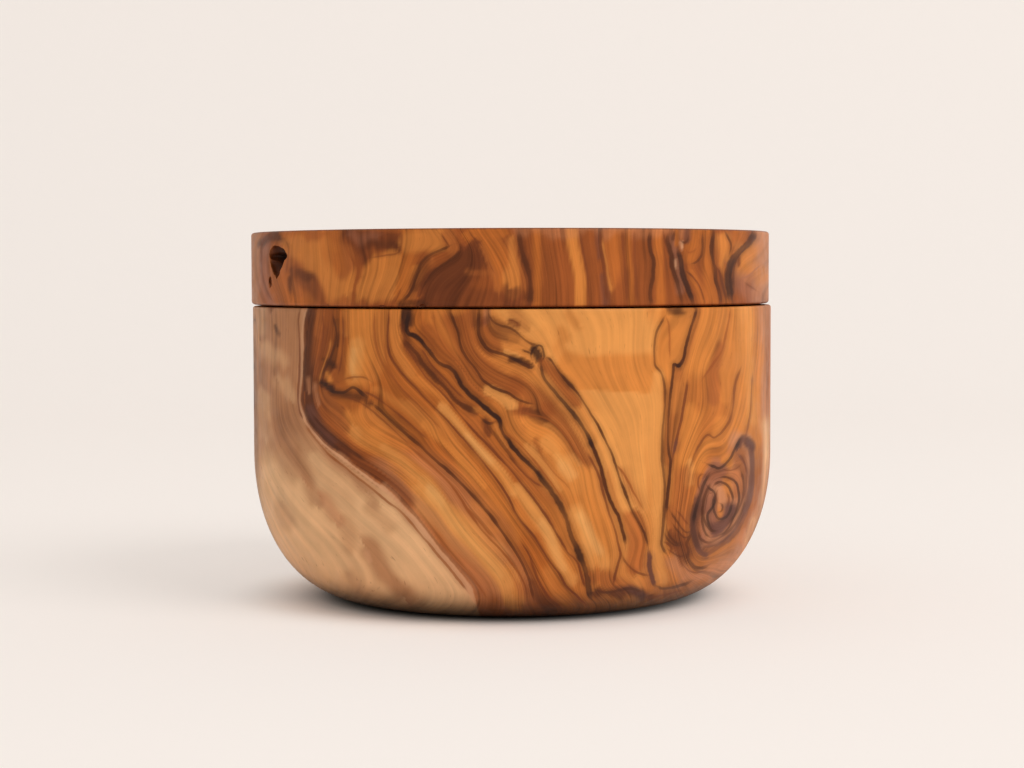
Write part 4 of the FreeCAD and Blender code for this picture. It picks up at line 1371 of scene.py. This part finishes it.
@dataclass(frozen=True)
class WoodFinish:
    """Oiled olive wood: reads the painted figure and adds streaks, pores and a satin sheen."""

    name: str
    streak_depth: float = 0.62
    vein_room: float = 0.97
    fibre: tuple[float, float, float] = (1.5, 1.5, 0.09)

    def make(self) -> bpy.types.Material:
        """Builds the material.

        Returns:
            The material, ready for a painted piece.
        """
        sheet = Sheet.of_material(self.name)
        place = sheet.place_in_mm()
        rings, traced = (sheet.attribute(name).outputs["Fac"] for name in ("rings", "traced"))
        colour = sheet.attribute("tone").outputs["Color"]
        colour = self._streaks(sheet, place, rings, traced, colour)
        colour = self._grown_veins(sheet, place, rings, traced, colour)
        sheet.give(Base_Color=self._drawn_veins(sheet, place, colour))
        self._surface(sheet, place, rings)
        return sheet.owner

    def _streaks(self, sheet: Sheet, place: object, rings: object, traced: object,
                 colour: object) -> object:
        """Varies the colour along the rings: broad bands, fine streaks, soft clouds and pores."""
        slow = sheet.scaled(place, 0.035)
        broad = sheet.noise(1.0, 3.0, slow, sheet.math("MULTIPLY", rings, 0.5))
        fine = sheet.noise(1.0, 2.0, slow, sheet.math("MULTIPLY", rings, 2.2))
        hair = sheet.noise(1.0, 1.0, slow, sheet.math("MULTIPLY_ADD", rings, 1.0, 57.3))
        cloud = sheet.noise(0.16, 3.0, place)
        split = sheet.node("ShaderNodeSeparateColor", {0: colour})
        depth = sheet.rise(split.outputs[1], 0.3, 0.1, 0.35 * self.streak_depth, self.streak_depth)
        shade = sheet.math("MULTIPLY", sheet.rise(broad, 0.25, 0.75, -0.42, 0.3), depth)
        thin = sheet.math("MULTIPLY", sheet.rise(fine, 0.3, 0.7, -0.34, 0.24), depth)
        lines = sheet.math("MULTIPLY", sheet.rise(hair, 0.32, 0.43, -0.5, 0.05), depth)
        fibres = sheet.noise(1.0, 2.0, sheet.stretched(place, self.fibre))
        threads = sheet.rise(fibres, 0.3, 0.7, -0.16, 0.14)
        lines = sheet.math("MULTIPLY_ADD", threads, sheet.math("SUBTRACT", 1.0, traced), lines)
        soft = sheet.rise(cloud, 0.3, 0.7, 0.98, 1.07)
        total = sheet.math("ADD", sheet.math("ADD", shade, thin), sheet.math("ADD", lines, soft))
        pores = sheet.noise(1.0, 1.0, sheet.scaled(place, 0.5), sheet.math("MULTIPLY", rings, 7.0))
        fleck = sheet.rise(pores, 0.66, 0.8, 0.0, 0.35)
        return sheet.blend(fleck, sheet.scaled(colour, total), (*CHESTNUT.light, 1.0))

    @staticmethod
    def _grown_veins(sheet: Sheet, place: object, rings: object, traced: object, colour: object) -> object:
        """Grows dark veins along the rings on the sides where none is drawn."""
        free = sheet.math("SUBTRACT", 1.0, traced)
        for frequency, width, offset in ((0.11, 0.022, 3.7), (0.2, 0.018, 21.3)):
            wave = sheet.math("MULTIPLY_ADD", rings, frequency, offset)
            line = sheet.math("ABSOLUTE", sheet.math("SUBTRACT", sheet.noise(1.0, 1.5, None, wave), 0.5))
            life = sheet.rise(sheet.noise(0.05, 2.0, place), 0.4, 0.6, 0.15, 1.0)
            core = sheet.math("MULTIPLY", sheet.rise(line, width, width * 0.35), life)
            halo = sheet.math("MULTIPLY", sheet.rise(line, width * 4.0, 0.0), 0.45)
            share = sheet.math("MULTIPLY", sheet.math("MAXIMUM", core, halo), free)
            colour = sheet.blend(share, colour, (*UMBER.light, 1.0))
        return colour

    def _drawn_veins(self, sheet: Sheet, place: object, colour: object) -> object:
        """Sharpens the drawn layers into lines with slightly uneven edges."""
        wobble = sheet.math("SUBTRACT", sheet.noise(0.7, 2.0, place), 0.5)
        for number in range(Figure.LAYERS):
            ink = sheet.attribute(f"vein_{number}")
            across = sheet.attribute(f"across_{number}").outputs["Fac"]
            gap = sheet.math("ABSOLUTE", sheet.math("MULTIPLY_ADD", wobble, 0.7, across))
            core = sheet.rise(gap, 1.35, 0.45)
            halo = sheet.rise(gap, 3.6, 0.8, 0.0, 0.3)
            share = sheet.math("MULTIPLY", sheet.math("MAXIMUM", core, halo), ink.outputs["Alpha"])
            share = sheet.math("MULTIPLY", share, self.vein_room)
            colour = sheet.blend(share, colour, ink.outputs["Color"])
        return colour

    def _surface(self, sheet: Sheet, place: object, rings: object) -> None:
        """Gives the wood its satin gloss and its faint grain under the finger."""
        rub = sheet.noise(0.35, 3.0, place)
        sheet.give(Roughness=sheet.rise(rub, 0.3, 0.7, 0.4, 0.52), Specular_IOR_Level=0.14)
        relief = sheet.noise(1.0, 2.0, sheet.scaled(place, 0.8), sheet.math("MULTIPLY", rings, 5.0))
        sheet.bump(relief, 0.1, 0.15 * MM)


@dataclass(frozen=True)
class MetalFinish:
    """Bare or plated metal with tool marks round its axis."""

    name: str
    tint: tuple[int, int, int]
    roughness: tuple[float, float]
    marks: tuple[float, float, float]

    def make(self) -> bpy.types.Material:
        """Builds the material."""
        sheet = Sheet.of_material(self.name)
        place = sheet.place_in_mm()
        lines = sheet.noise(1.0, 3.0, sheet.stretched(place, self.marks))
        smear = sheet.noise(0.6, 2.0, place)
        tint = linear(self.tint)
        worn = sheet.blend(sheet.rise(smear, 0.35, 0.7), (*tint, 1.0), (*(tint * 0.8), 1.0))
        sheet.give(Base_Color=worn, Roughness=sheet.rise(lines, 0.3, 0.7, *self.roughness), Metallic=1.0)
        sheet.bump(lines, 0.12, 0.1 * MM)
        return sheet.owner


@dataclass(frozen=True)
class NylonFinish:
    """Natural nylon, slightly cloudy, with a low sheen."""

    name: str = "natural_nylon"
    tint: tuple[int, int, int] = (233, 228, 214)

    def make(self) -> bpy.types.Material:
        """Builds the material."""
        sheet = Sheet.of_material(self.name)
        place = sheet.place_in_mm()
        cloud = sheet.noise(0.8, 3.0, place)
        tint = linear(self.tint)
        colour = sheet.blend(sheet.rise(cloud, 0.3, 0.7), (*tint, 1.0), (*(tint * 0.86), 1.0))
        sheet.give(Base_Color=colour, Roughness=sheet.rise(cloud, 0.3, 0.7, 0.42, 0.55))
        sheet.give(Subsurface_Weight=0.1, Subsurface_Scale=0.5 * MM)
        sheet.bump(cloud, 0.08, 0.1 * MM)
        return sheet.owner


class WoodTones:
    """Colours the wood by its rings on the sides that the picture doesn't show."""

    STEPS = (
        (-0.75, CHESTNUT), (-0.4, RUSSET), (-0.1, ORANGE),
        (0.2, AMBER), (0.5, GOLD), (0.85, HONEY),
    )

    def __init__(self, seed: int) -> None:
        """Seeds the bands."""
        self.bands = CloudNoise(seed)

    def at(self, places: np.ndarray, rings: np.ndarray) -> np.ndarray:
        """Colours places by their rings.

        Args:
            places: places in millimetres, one a row.
            rings: the ring number at each.

        Returns:
            A linear colour for each place.
        """
        slow = places * 0.018
        broad = self.bands.at(np.stack([rings * 0.085, slow[:, 1], slow[:, 2]], axis=1))
        narrow = self.bands.at(np.stack([rings * 0.29 + 40.0, slow[:, 0] * 1.6, slow[:, 2] * 1.6], axis=1))
        level = 1.1 * broad + 0.7 * narrow + 0.25
        stops = [stop for stop, _ in self.STEPS]
        lights = np.array([tone.light for _, tone in self.STEPS])
        return np.stack([np.interp(level, stops, lights[:, k]) for k in range(3)], axis=1)


@dataclass
class Bowl:
    """The bowl: an upright wall, a full rounded corner, a flat foot and a rounded hollow."""

    radius: float = 55.0
    height: float = 61.75
    foot: float = 32.5
    corner_height: float = 31.0
    corner_fullness: float = 0.79
    hollow: float = 44.0
    floor: float = 9.0
    hollow_foot: float = 25.0
    hollow_corner: float = 26.0
    rim_outer_ease: float = 0.5
    rim_inner_ease: float = 1.2
    seat_line: float = 49.5
    pin_hole: float = 2.05
    pin_bottom: float = 39.75
    magnet_seat: float = 3.05
    magnet_bottom: float = 58.75
    foot_shade: float = 0.78        # how dark the painted shade makes the wood where it curves under
    drawn_to: tuple[float, float] = (68.0, 84.0)    # degrees from the front where the drawn figure ends
    fitted_to: float = 86.0         # and within which the rings follow it

    def build(self) -> bpy.types.Object:
        """Turns the bowl and bores it for the pin and the magnet.

        Returns:
            The finished, painted bowl.
        """
        outline = (
            Outline(0.0, 0.0)
            .line(self.foot, 0.0, 4.0)
            .ease((self.radius, 0.0), (self.radius, self.corner_height), 80, self.corner_fullness)
            .line(self.radius, self.height - self.rim_outer_ease, 0.52)
            .ease((self.radius, self.height), (self.radius - self.rim_outer_ease, self.height), 5)
            .line(self.hollow + self.rim_inner_ease, self.height, 1.4)
            .ease((self.hollow, self.height), (self.hollow, self.height - self.rim_inner_ease), 6)
            .line(self.hollow, self.floor + self.hollow_corner, 2.1)
            .ease((self.hollow, self.floor), (self.hollow_foot, self.floor), 17)
            .line(0.0, self.floor, 3.5)
        )
        piece = turn("bowl_turning", outline, (0.0, 0.0), 390, 98)
        above = self.height + 1.0
        cut(piece, bore((0.0, self.seat_line), self.pin_hole, self.pin_bottom, above))
        cut(piece, bore((0.0, -self.seat_line), self.magnet_seat, self.magnet_bottom, above))
        only(piece)
        bpy.ops.object.shade_smooth_by_angle(angle=SMOOTH_ANGLE)
        self.dress(piece)
        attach(piece, "bowl")
        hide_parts("bowl")
        return piece

    def outer_radius(self, heights: np.ndarray) -> np.ndarray:
        """Gives the outside's radius at each height."""
        end = (self.radius, self.corner_height)
        curve = rounded((self.foot, 0.0), (self.radius, 0.0), end, 400, self.corner_fullness)
        return np.interp(heights, curve[:, 1], curve[:, 0])

    def dress(self, piece: bpy.types.Object) -> None:
        """Paints the figure on the bowl and gives it its finish."""
        places = points_of(piece)
        reach = np.hypot(places[:, 0], places[:, 1])
        around = np.abs(np.degrees(np.arctan2(places[:, 0], -places[:, 1])))
        low_edge = np.clip(places[:, 2], 0.0, self.height - self.rim_outer_ease)
        skin = self.outer_radius(low_edge)
        way = places[:, :2] / np.maximum(reach, 1e-6)[:, None]
        pixels = CAMERA.project(np.column_stack([way * skin[:, None], low_edge]))
        depth = skin - reach
        traced = self._traced(places, reach, around, depth)
        front = (around < self.fitted_to) & (depth < SKIN)
        rings = self.ring_field(places[front], pixels[front]).at(places)
        rings = rings + self._drift(places) * (1.0 - traced)
        figure = Figure(piece, np.where(traced[:, None] > 0.0, pixels, OFF_PICTURE), rings)
        tone = mix(self._grown(places, rings), self._painted(figure), traced)
        # painted shade: the wood's colour darkens where the corner curves under towards the floor
        under = smooth_step(8.0, 1.5, places[:, 2]) * smooth_step(30.5, 33.5, reach)
        tone *= 1.0 - (self.foot_shade * under)[:, None]
        figure.keep(tone, traced)
        figure.draw(BOWL_VEINS, traced)
        wear(piece, WoodFinish("olive_wood_of_the_bowl").make())

    def _traced(self, places: np.ndarray, reach: np.ndarray, around: np.ndarray,
                depth: np.ndarray) -> np.ndarray:
        """Tells how much of the drawn figure each point shows.

        Args:
            places: places in millimetres, one a row.
            reach: how far each is from the axis.
            around: how far round from the front each is, in degrees.
            depth: how deep under the outside each is.

        Returns:
            A share from 0 to 1 for each place.
        """
        ragged = around + 7.0 * CloudNoise(Seed.FRONT_EDGE).at(places / (7.0, 7.0, 16.0))
        facing = 1.0 - smooth_step(*self.drawn_to, ragged)
        on_skin = 1.0 - smooth_step(3.0, 10.0, depth)
        inside = smooth_step(self.hollow + 1.0, self.hollow - 0.5, reach)
        return facing * on_skin * (1.0 - inside * (places[:, 2] > self.floor - 1.0))

    @staticmethod
    def _drift(places: np.ndarray) -> np.ndarray:
        """Gives the bends of the rings on the sides and the back, where none is drawn."""
        broad = CloudNoise(Seed.BOWL_DRIFT).at(places / (26.0, 26.0, 48.0))
        small = CloudNoise(Seed.BOWL_SMALL_DRIFT).at(places / (11.0, 11.0, 20.0))
        return broad * 5.0 + small * 1.6

    @staticmethod
    def _grown(places: np.ndarray, rings: np.ndarray) -> np.ndarray:
        """Colours the sides, the back and the hollow by their rings, with sapwood outside the first one."""
        mottle = CloudNoise(Seed.SAP_MOTTLE).at(places / 9.0) * 0.5 + 0.5
        sap = mix(SAP.light, SAP_PALE.light, mottle)
        # the sapwood is darker towards the top
        high = 0.75 * smooth_step(22.0, 40.0, places[:, 2] + 6.0 * mottle)
        sap = mix(sap, SAP_SHADE.light, high)
        return mix(WoodTones(Seed.BOWL_BANDS).at(places, rings), sap, smooth_step(1.5, -1.5, rings))

    @staticmethod
    def _painted(figure: Figure) -> np.ndarray:
        """Paints the front: heartwood, the pale sapwood on its left, and the dark wood along its edge."""
        heart = figure.paint(figure.plain(ORANGE), BOWL_STROKES)
        sapwood = figure.paint(figure.plain(SAP), SAP_STROKES)
        beside, _ = measure(figure.pixels, flowing(SAP_EDGE))
        left = smooth_step(0.7, -0.7, beside + 0.8 * figure.blotch)
        return figure.paint(mix(heart, sapwood, left), EDGE_STROKES)

    @staticmethod
    def ring_field(places: np.ndarray, pixels: np.ndarray) -> RingField:
        """Fits the rings to the drawn veins.

        Args:
            places: the front's points in millimetres.
            pixels: where they appear in the picture.

        Returns:
            The ring field.
        """
        known_places, known_rings = [], []
        marks = [(flowing(vein.path)[::7], vein.ring) for vein in BOWL_VEINS if vein.ring is not None]
        marks += [(np.array([pixel]), ring) for pixel, ring in BOWL_RINGS]
        for line, ring in marks:
            for pixel in line:
                nearest = int(np.argmin(np.sum((pixels - pixel) ** 2, axis=1)))
                known_places.append(places[nearest])
                known_rings.append(ring)
        spots, first = np.unique(np.array(known_places).round(3), axis=0, return_index=True)
        return RingField(spots, np.array(known_rings)[first])


@dataclass
class Lid:
    """The lid: a thick flat disc with eased edges, a knot hole and two nicks in its lower edge."""

    radius: float = 54.9
    bottom: float = 62.1
    top: float = 77.1
    top_ease: float = 0.6
    under_ease: float = 0.7
    rest_turn: float = -0.4
    seat_line: float = 49.5
    sleeve_seat: float = 3.29
    sleeve_top: float = 73.05
    magnet_seat: float = 3.05
    magnet_top: float = 65.1

    def at_rest(self, place: Spot) -> Spot:
        """Swings a place of the lid about the pin to where the closed lid stands."""
        swing = math.radians(self.rest_turn)
        x, y = place[0], place[1] - self.seat_line
        swung_y = x * math.sin(swing) + y * math.cos(swing)
        return (x * math.cos(swing) - y * math.sin(swing), swung_y + self.seat_line)

    def build(self) -> bpy.types.Object:
        """Turns the lid, bores it from below and opens its knot hole.

        Returns:
            The finished, painted lid.
        """
        outline = (
            Outline(0.0, self.bottom)
            .line(self.radius - self.under_ease, self.bottom, 2.2)
            .ease((self.radius, self.bottom), (self.radius, self.bottom + self.under_ease), 6)
            .line(self.radius, self.top - self.top_ease, 0.5)
            .ease((self.radius, self.top), (self.radius - self.top_ease, self.top), 6)
            .line(0.0, self.top, 0.52)
        )
        centre = self.at_rest((0.0, 0.0))
        piece = turn("lid_turning", outline, centre, 330, 176)
        below = self.bottom - 1.0
        cut(piece, bore((0.0, self.seat_line), self.sleeve_seat, below, self.sleeve_top))
        cut(piece, bore(self.at_rest((0.0, -self.seat_line)), self.magnet_seat, below, self.magnet_top))
        for flaw in LID_FLAWS:
            place = CAMERA.on_cylinder(flaw.pixel, self.radius, centre)
            facing = math.degrees(math.atan2(place[1] - centre[1], place[0] - centre[0]))
            cut(piece, gouge(place, facing, flaw))
        only(piece)
        bpy.ops.object.shade_smooth_by_angle(angle=SMOOTH_ANGLE)
        self.dress(piece, centre)
        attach(piece, "lid")
        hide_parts("lid")
        return piece

    def dress(self, piece: bpy.types.Object, centre: Spot) -> None:
        """Paints the figure, which runs through the lid from front to back, and gives it its finish."""
        places = points_of(piece)
        offset = places[:, :2] - np.array(centre)
        across = np.clip(offset[:, 0], -0.995 * self.radius, 0.995 * self.radius)
        behind = np.maximum(offset[:, 1] - self._edge(across), 0.0)
        pixels = self._shown(across, behind, places[:, 2], centre)
        figure = Figure(piece, pixels, self.ring_field().at(pixels * PIXEL_MM))
        on_edge = (places[:, 2] > self.bottom + SKIN) & (places[:, 2] < self.top - SKIN)
        depth = np.where(on_edge, self.radius - np.hypot(offset[:, 0], offset[:, 1]), 0.0)
        hole = smooth_step(0.02, 0.35, depth) * (offset[:, 1] < 0.0)
        # the knot hole's wall: dark knot wood, and painted shade that darkens it towards INK with depth
        wall = mix(0.8 * CHESTNUT.light, 0.6 * INK.light, smooth_step(0.4, 2.6, depth))
        tone = mix(figure.paint(figure.plain(RUSSET), LID_STROKES), wall, hole)
        figure.keep(tone, 1.0 - 0.7 * smooth_step(4.0, 30.0, behind))
        figure.draw(LID_VEINS, 1.0 - hole)
        wear(piece, WoodFinish("olive_wood_of_the_lid", 0.44, fibre=(1.5, 0.09, 1.5)).make())

    def _edge(self, across: np.ndarray) -> np.ndarray:
        """Gives how far forward the lid's front edge is, at distances to the right of its middle."""
        return -np.sqrt(self.radius ** 2 - across ** 2)

    def _shown(self, across: np.ndarray, behind: np.ndarray, height: np.ndarray,
               centre: Spot) -> np.ndarray:
        """Finds the pixel on the front edge whose grain runs back to each point, with a slight sway.

        Args:
            across: how far to the right of the middle each point is.
            behind: how far behind the front edge it is.
            height: its height.
            centre: where the lid's axis stands.

        Returns:
            Pixel columns and rows, one pair a row.
        """
        sway = 2.6 * np.sin(behind / 21.0) + 0.035 * behind
        cells = np.column_stack([across / 30.0, behind / 34.0, height / 40.0])
        roam = CloudNoise(Seed.LID_ROAM).at(cells) * 5.0
        moved = across + (sway + roam) * smooth_step(0.0, 14.0, behind)
        moved = np.clip(moved, -0.99 * self.radius, 0.99 * self.radius)
        level = np.clip(height, self.bottom + 0.3, self.top - 0.3)
        return CAMERA.project(np.column_stack([moved + centre[0], self._edge(moved) + centre[1], level]))

    @staticmethod
    def ring_field() -> RingField:
        """Fits the rings to the drawn veins, in the picture's plane."""
        spots, rings = [], []
        for vein in LID_VEINS:
            if vein.ring is not None:
                line = flowing(vein.path)[::5]
                spots += list(line * PIXEL_MM)
                rings += [vein.ring] * len(line)
        spots, first = np.unique(np.array(spots).round(2), axis=0, return_index=True)
        return RingField(spots, np.array(rings)[first])


class Hardware:
    """The swivel and the catch, which keep their CAD shapes and get their finishes."""

    NICKEL = MetalFinish("nickel_plate", (208, 204, 196), (0.12, 0.24), (1.2, 1.2, 1.2))
    FINISHES = {
        "pivot_pin": MetalFinish("ground_pin_steel", (196, 197, 198), (0.2, 0.34), (0.4, 0.4, 9.0)),
        "snap_ring": MetalFinish("spring_ring_steel", (120, 121, 126), (0.26, 0.4), (3.0, 3.0, 6.0)),
        "pivot_sleeve": MetalFinish("turned_sleeve_brass", (205, 166, 96), (0.22, 0.36), (0.4, 0.4, 8.0)),
        "bowl_magnet": NICKEL,
        "lid_magnet": NICKEL,
        "pivot_washer": NylonFinish(),
    }

    def dress(self) -> None:
        """Gives each CAD node its material."""
        made: dict[str, bpy.types.Material] = {}
        for node, finish in self.FINISHES.items():
            if finish.name not in made:
                made[finish.name] = finish.make()
            wear(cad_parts[node], made[finish.name])
            log.info("%s: %s", node, finish.name)


@dataclass
class Studio:
    """A pale sweep under soft light, brighter from the upper right."""

    sweep_tint: tuple[int, int, int] = (254, 246, 240)
    sweep_glow: tuple[int, int, int] = (250, 243, 237)
    glow_share: float = 0.5
    glow_ramp: tuple[float, float] = (0.035, 0.06)          # from the shade's middle, in metres
    contact_ramp: tuple[float, float] = (0.0335, 0.0425)    # from the bowl's axis
    shadow_shift: float = -0.004    # the shade on the floor lies away from the key lamp
    contact: float = 0.1            # painted contact shadow: how much of its colour the floor keeps right under the foot
    sky_tint: tuple[int, int, int] = (255, 252, 248)
    sky_strength: float = 0.62
    sky_shown: tuple[int, int, int] = (239, 230, 223)
    key_place: tuple[float, float, float] = (0.85, -0.75, 1.05)
    key_size: float = 0.9
    key_power: float = 9.0
    key_aim: tuple[float, float, float] = (0.0, 0.0, 0.03)
    floor_front: float = -1.6
    floor_back: float = 0.55
    sweep_radius: float = 0.4
    sweep_top: float = 1.9
    half_width: float = 1.6

    def build(self) -> None:
        """Sets the sweep, the lights and the world."""
        self._sweep()
        self._key()
        self._sky()
        bpy.context.scene.view_settings.view_transform = "Standard"

    def _sweep(self) -> None:
        """Draws the floor that curves up into a backdrop."""
        bpy.ops.object.select_all(action="DESELECT")
        bpy.ops.mesh.primitive_plane_add(size=1.0, location=(0.0, 0.0, 0.0))
        sweep = bpy.context.object
        sweep.name = "sweep"
        bpy.ops.object.mode_set(mode="EDIT")
        bpy.ops.mesh.select_mode(type="VERT")
        bpy.ops.mesh.select_all(action="SELECT")
        bpy.ops.transform.resize(value=(2.0 * self.half_width, 0.0, 1.0))
        bpy.ops.transform.translate(value=(0.0, self.floor_front, 0.0))
        bpy.ops.mesh.remove_doubles(threshold=1e-6)
        extrude((0.0, self.floor_back - self.floor_front, 0.0))
        steps = 24
        for k in range(steps):
            turn_a, turn_b = math.pi / 2 * k / steps, math.pi / 2 * (k + 1) / steps
            on = self.sweep_radius * (math.sin(turn_b) - math.sin(turn_a))
            up = self.sweep_radius * (math.cos(turn_a) - math.cos(turn_b))
            extrude((0.0, on, up))
        extrude((0.0, 0.0, self.sweep_top))
        bpy.ops.mesh.select_all(action="SELECT")
        bpy.ops.mesh.normals_make_consistent(inside=False)
        bpy.ops.object.mode_set(mode="OBJECT")
        only(sweep)
        bpy.ops.object.shade_smooth()
        sheet = Sheet.of_material("pale_sweep")
        sheet.give(Roughness=0.9, Specular_IOR_Level=0.0)
        self._glow(sheet)
        sweep.data.materials.append(sheet.owner)

    def _glow(self, sheet: Sheet) -> None:
        """Lets the eye see the sweep a little paler than it is lit, but not next to the foot."""
        place = sheet.node("ShaderNodeTexCoord", {}).outputs["Object"]
        away = sheet.node("ShaderNodeVectorMath", {0: place}, operation="LENGTH").outputs["Value"]
        shadow_side = {0: place, 1: (self.shadow_shift, 0.0, 0.0)}
        beyond = sheet.node("ShaderNodeVectorMath", shadow_side, operation="DISTANCE").outputs["Value"]
        open_floor = sheet.rise(beyond, *self.glow_ramp, 0.0, self.glow_share)
        # painted contact shadow: the sweep's colour darkens round the bowl's foot
        shade = sheet.rise(away, *self.contact_ramp, self.contact, 1.0)
        sheet.give(Base_Color=sheet.scaled(tuple(linear(self.sweep_tint)), shade))
        glow = sheet.node("ShaderNodeEmission", {"Color": (*linear(self.sweep_glow), 1.0)})
        share = sheet.math("MULTIPLY", open_floor, self._seen(sheet))
        inputs = {0: share, 1: sheet.shader.outputs[0], 2: glow.outputs[0]}
        mixed = sheet.node("ShaderNodeMixShader", inputs)
        sheet.feed(sheet.tree.nodes["Material Output"].inputs["Surface"], mixed.outputs[0])

    @staticmethod
    def _seen(sheet: Sheet) -> bpy.types.NodeSocket:
        """Tells the rays that the eye sees, straight or in a reflection, from those that only light."""
        path = sheet.node("ShaderNodeLightPath", {}).outputs
        seen = path["Is Camera Ray"]
        for ray in ("Is Glossy Ray", "Is Transmission Ray"):
            seen = sheet.math("MAXIMUM", seen, path[ray])
        return seen

    def _key(self) -> None:
        """Hangs the large soft lamp on the upper right."""
        data = bpy.data.lights.new("key", "AREA")
        data.shape = "DISK"
        data.size = self.key_size
        data.energy = self.key_power
        lamp = bpy.data.objects.new("key", data)
        bpy.context.scene.collection.objects.link(lamp)
        aim = Vector(self.key_aim) - Vector(self.key_place)
        turned = aim.to_track_quat("-Z", "Y").to_matrix().to_4x4()
        lamp.matrix_world = Matrix.Translation(self.key_place) @ turned

    def _sky(self) -> None:
        """Fills the world with even light, and shows it as pale as the sweep."""
        sheet = Sheet(bpy.data.worlds.new("even_light"))
        light = sheet.tree.nodes["Background"]
        light.inputs["Color"].default_value = (*linear(self.sky_tint), 1.0)
        light.inputs["Strength"].default_value = self.sky_strength
        shown = sheet.node("ShaderNodeBackground", {"Color": (*linear(self.sky_shown), 1.0)})
        inputs = {0: self._seen(sheet), 1: light.outputs[0], 2: shown.outputs[0]}
        mixed = sheet.node("ShaderNodeMixShader", inputs)
        sheet.feed(sheet.tree.nodes["World Output"].inputs["Surface"], mixed.outputs[0])
        bpy.context.scene.world = sheet.owner


def main() -> None:
    """Builds the keeper, its hardware and the studio."""
    CAMERA.make()
    for part in (Bowl(), Lid()):
        piece = part.build()
        log.info("%s: %d points, %d faces", piece.name, len(piece.data.vertices), len(piece.data.polygons))
    Hardware().dress()
    Studio().build()


if __name__ == "__main__":
    logging.basicConfig(level=logging.INFO, format="%(name)s: %(message)s")
    main()
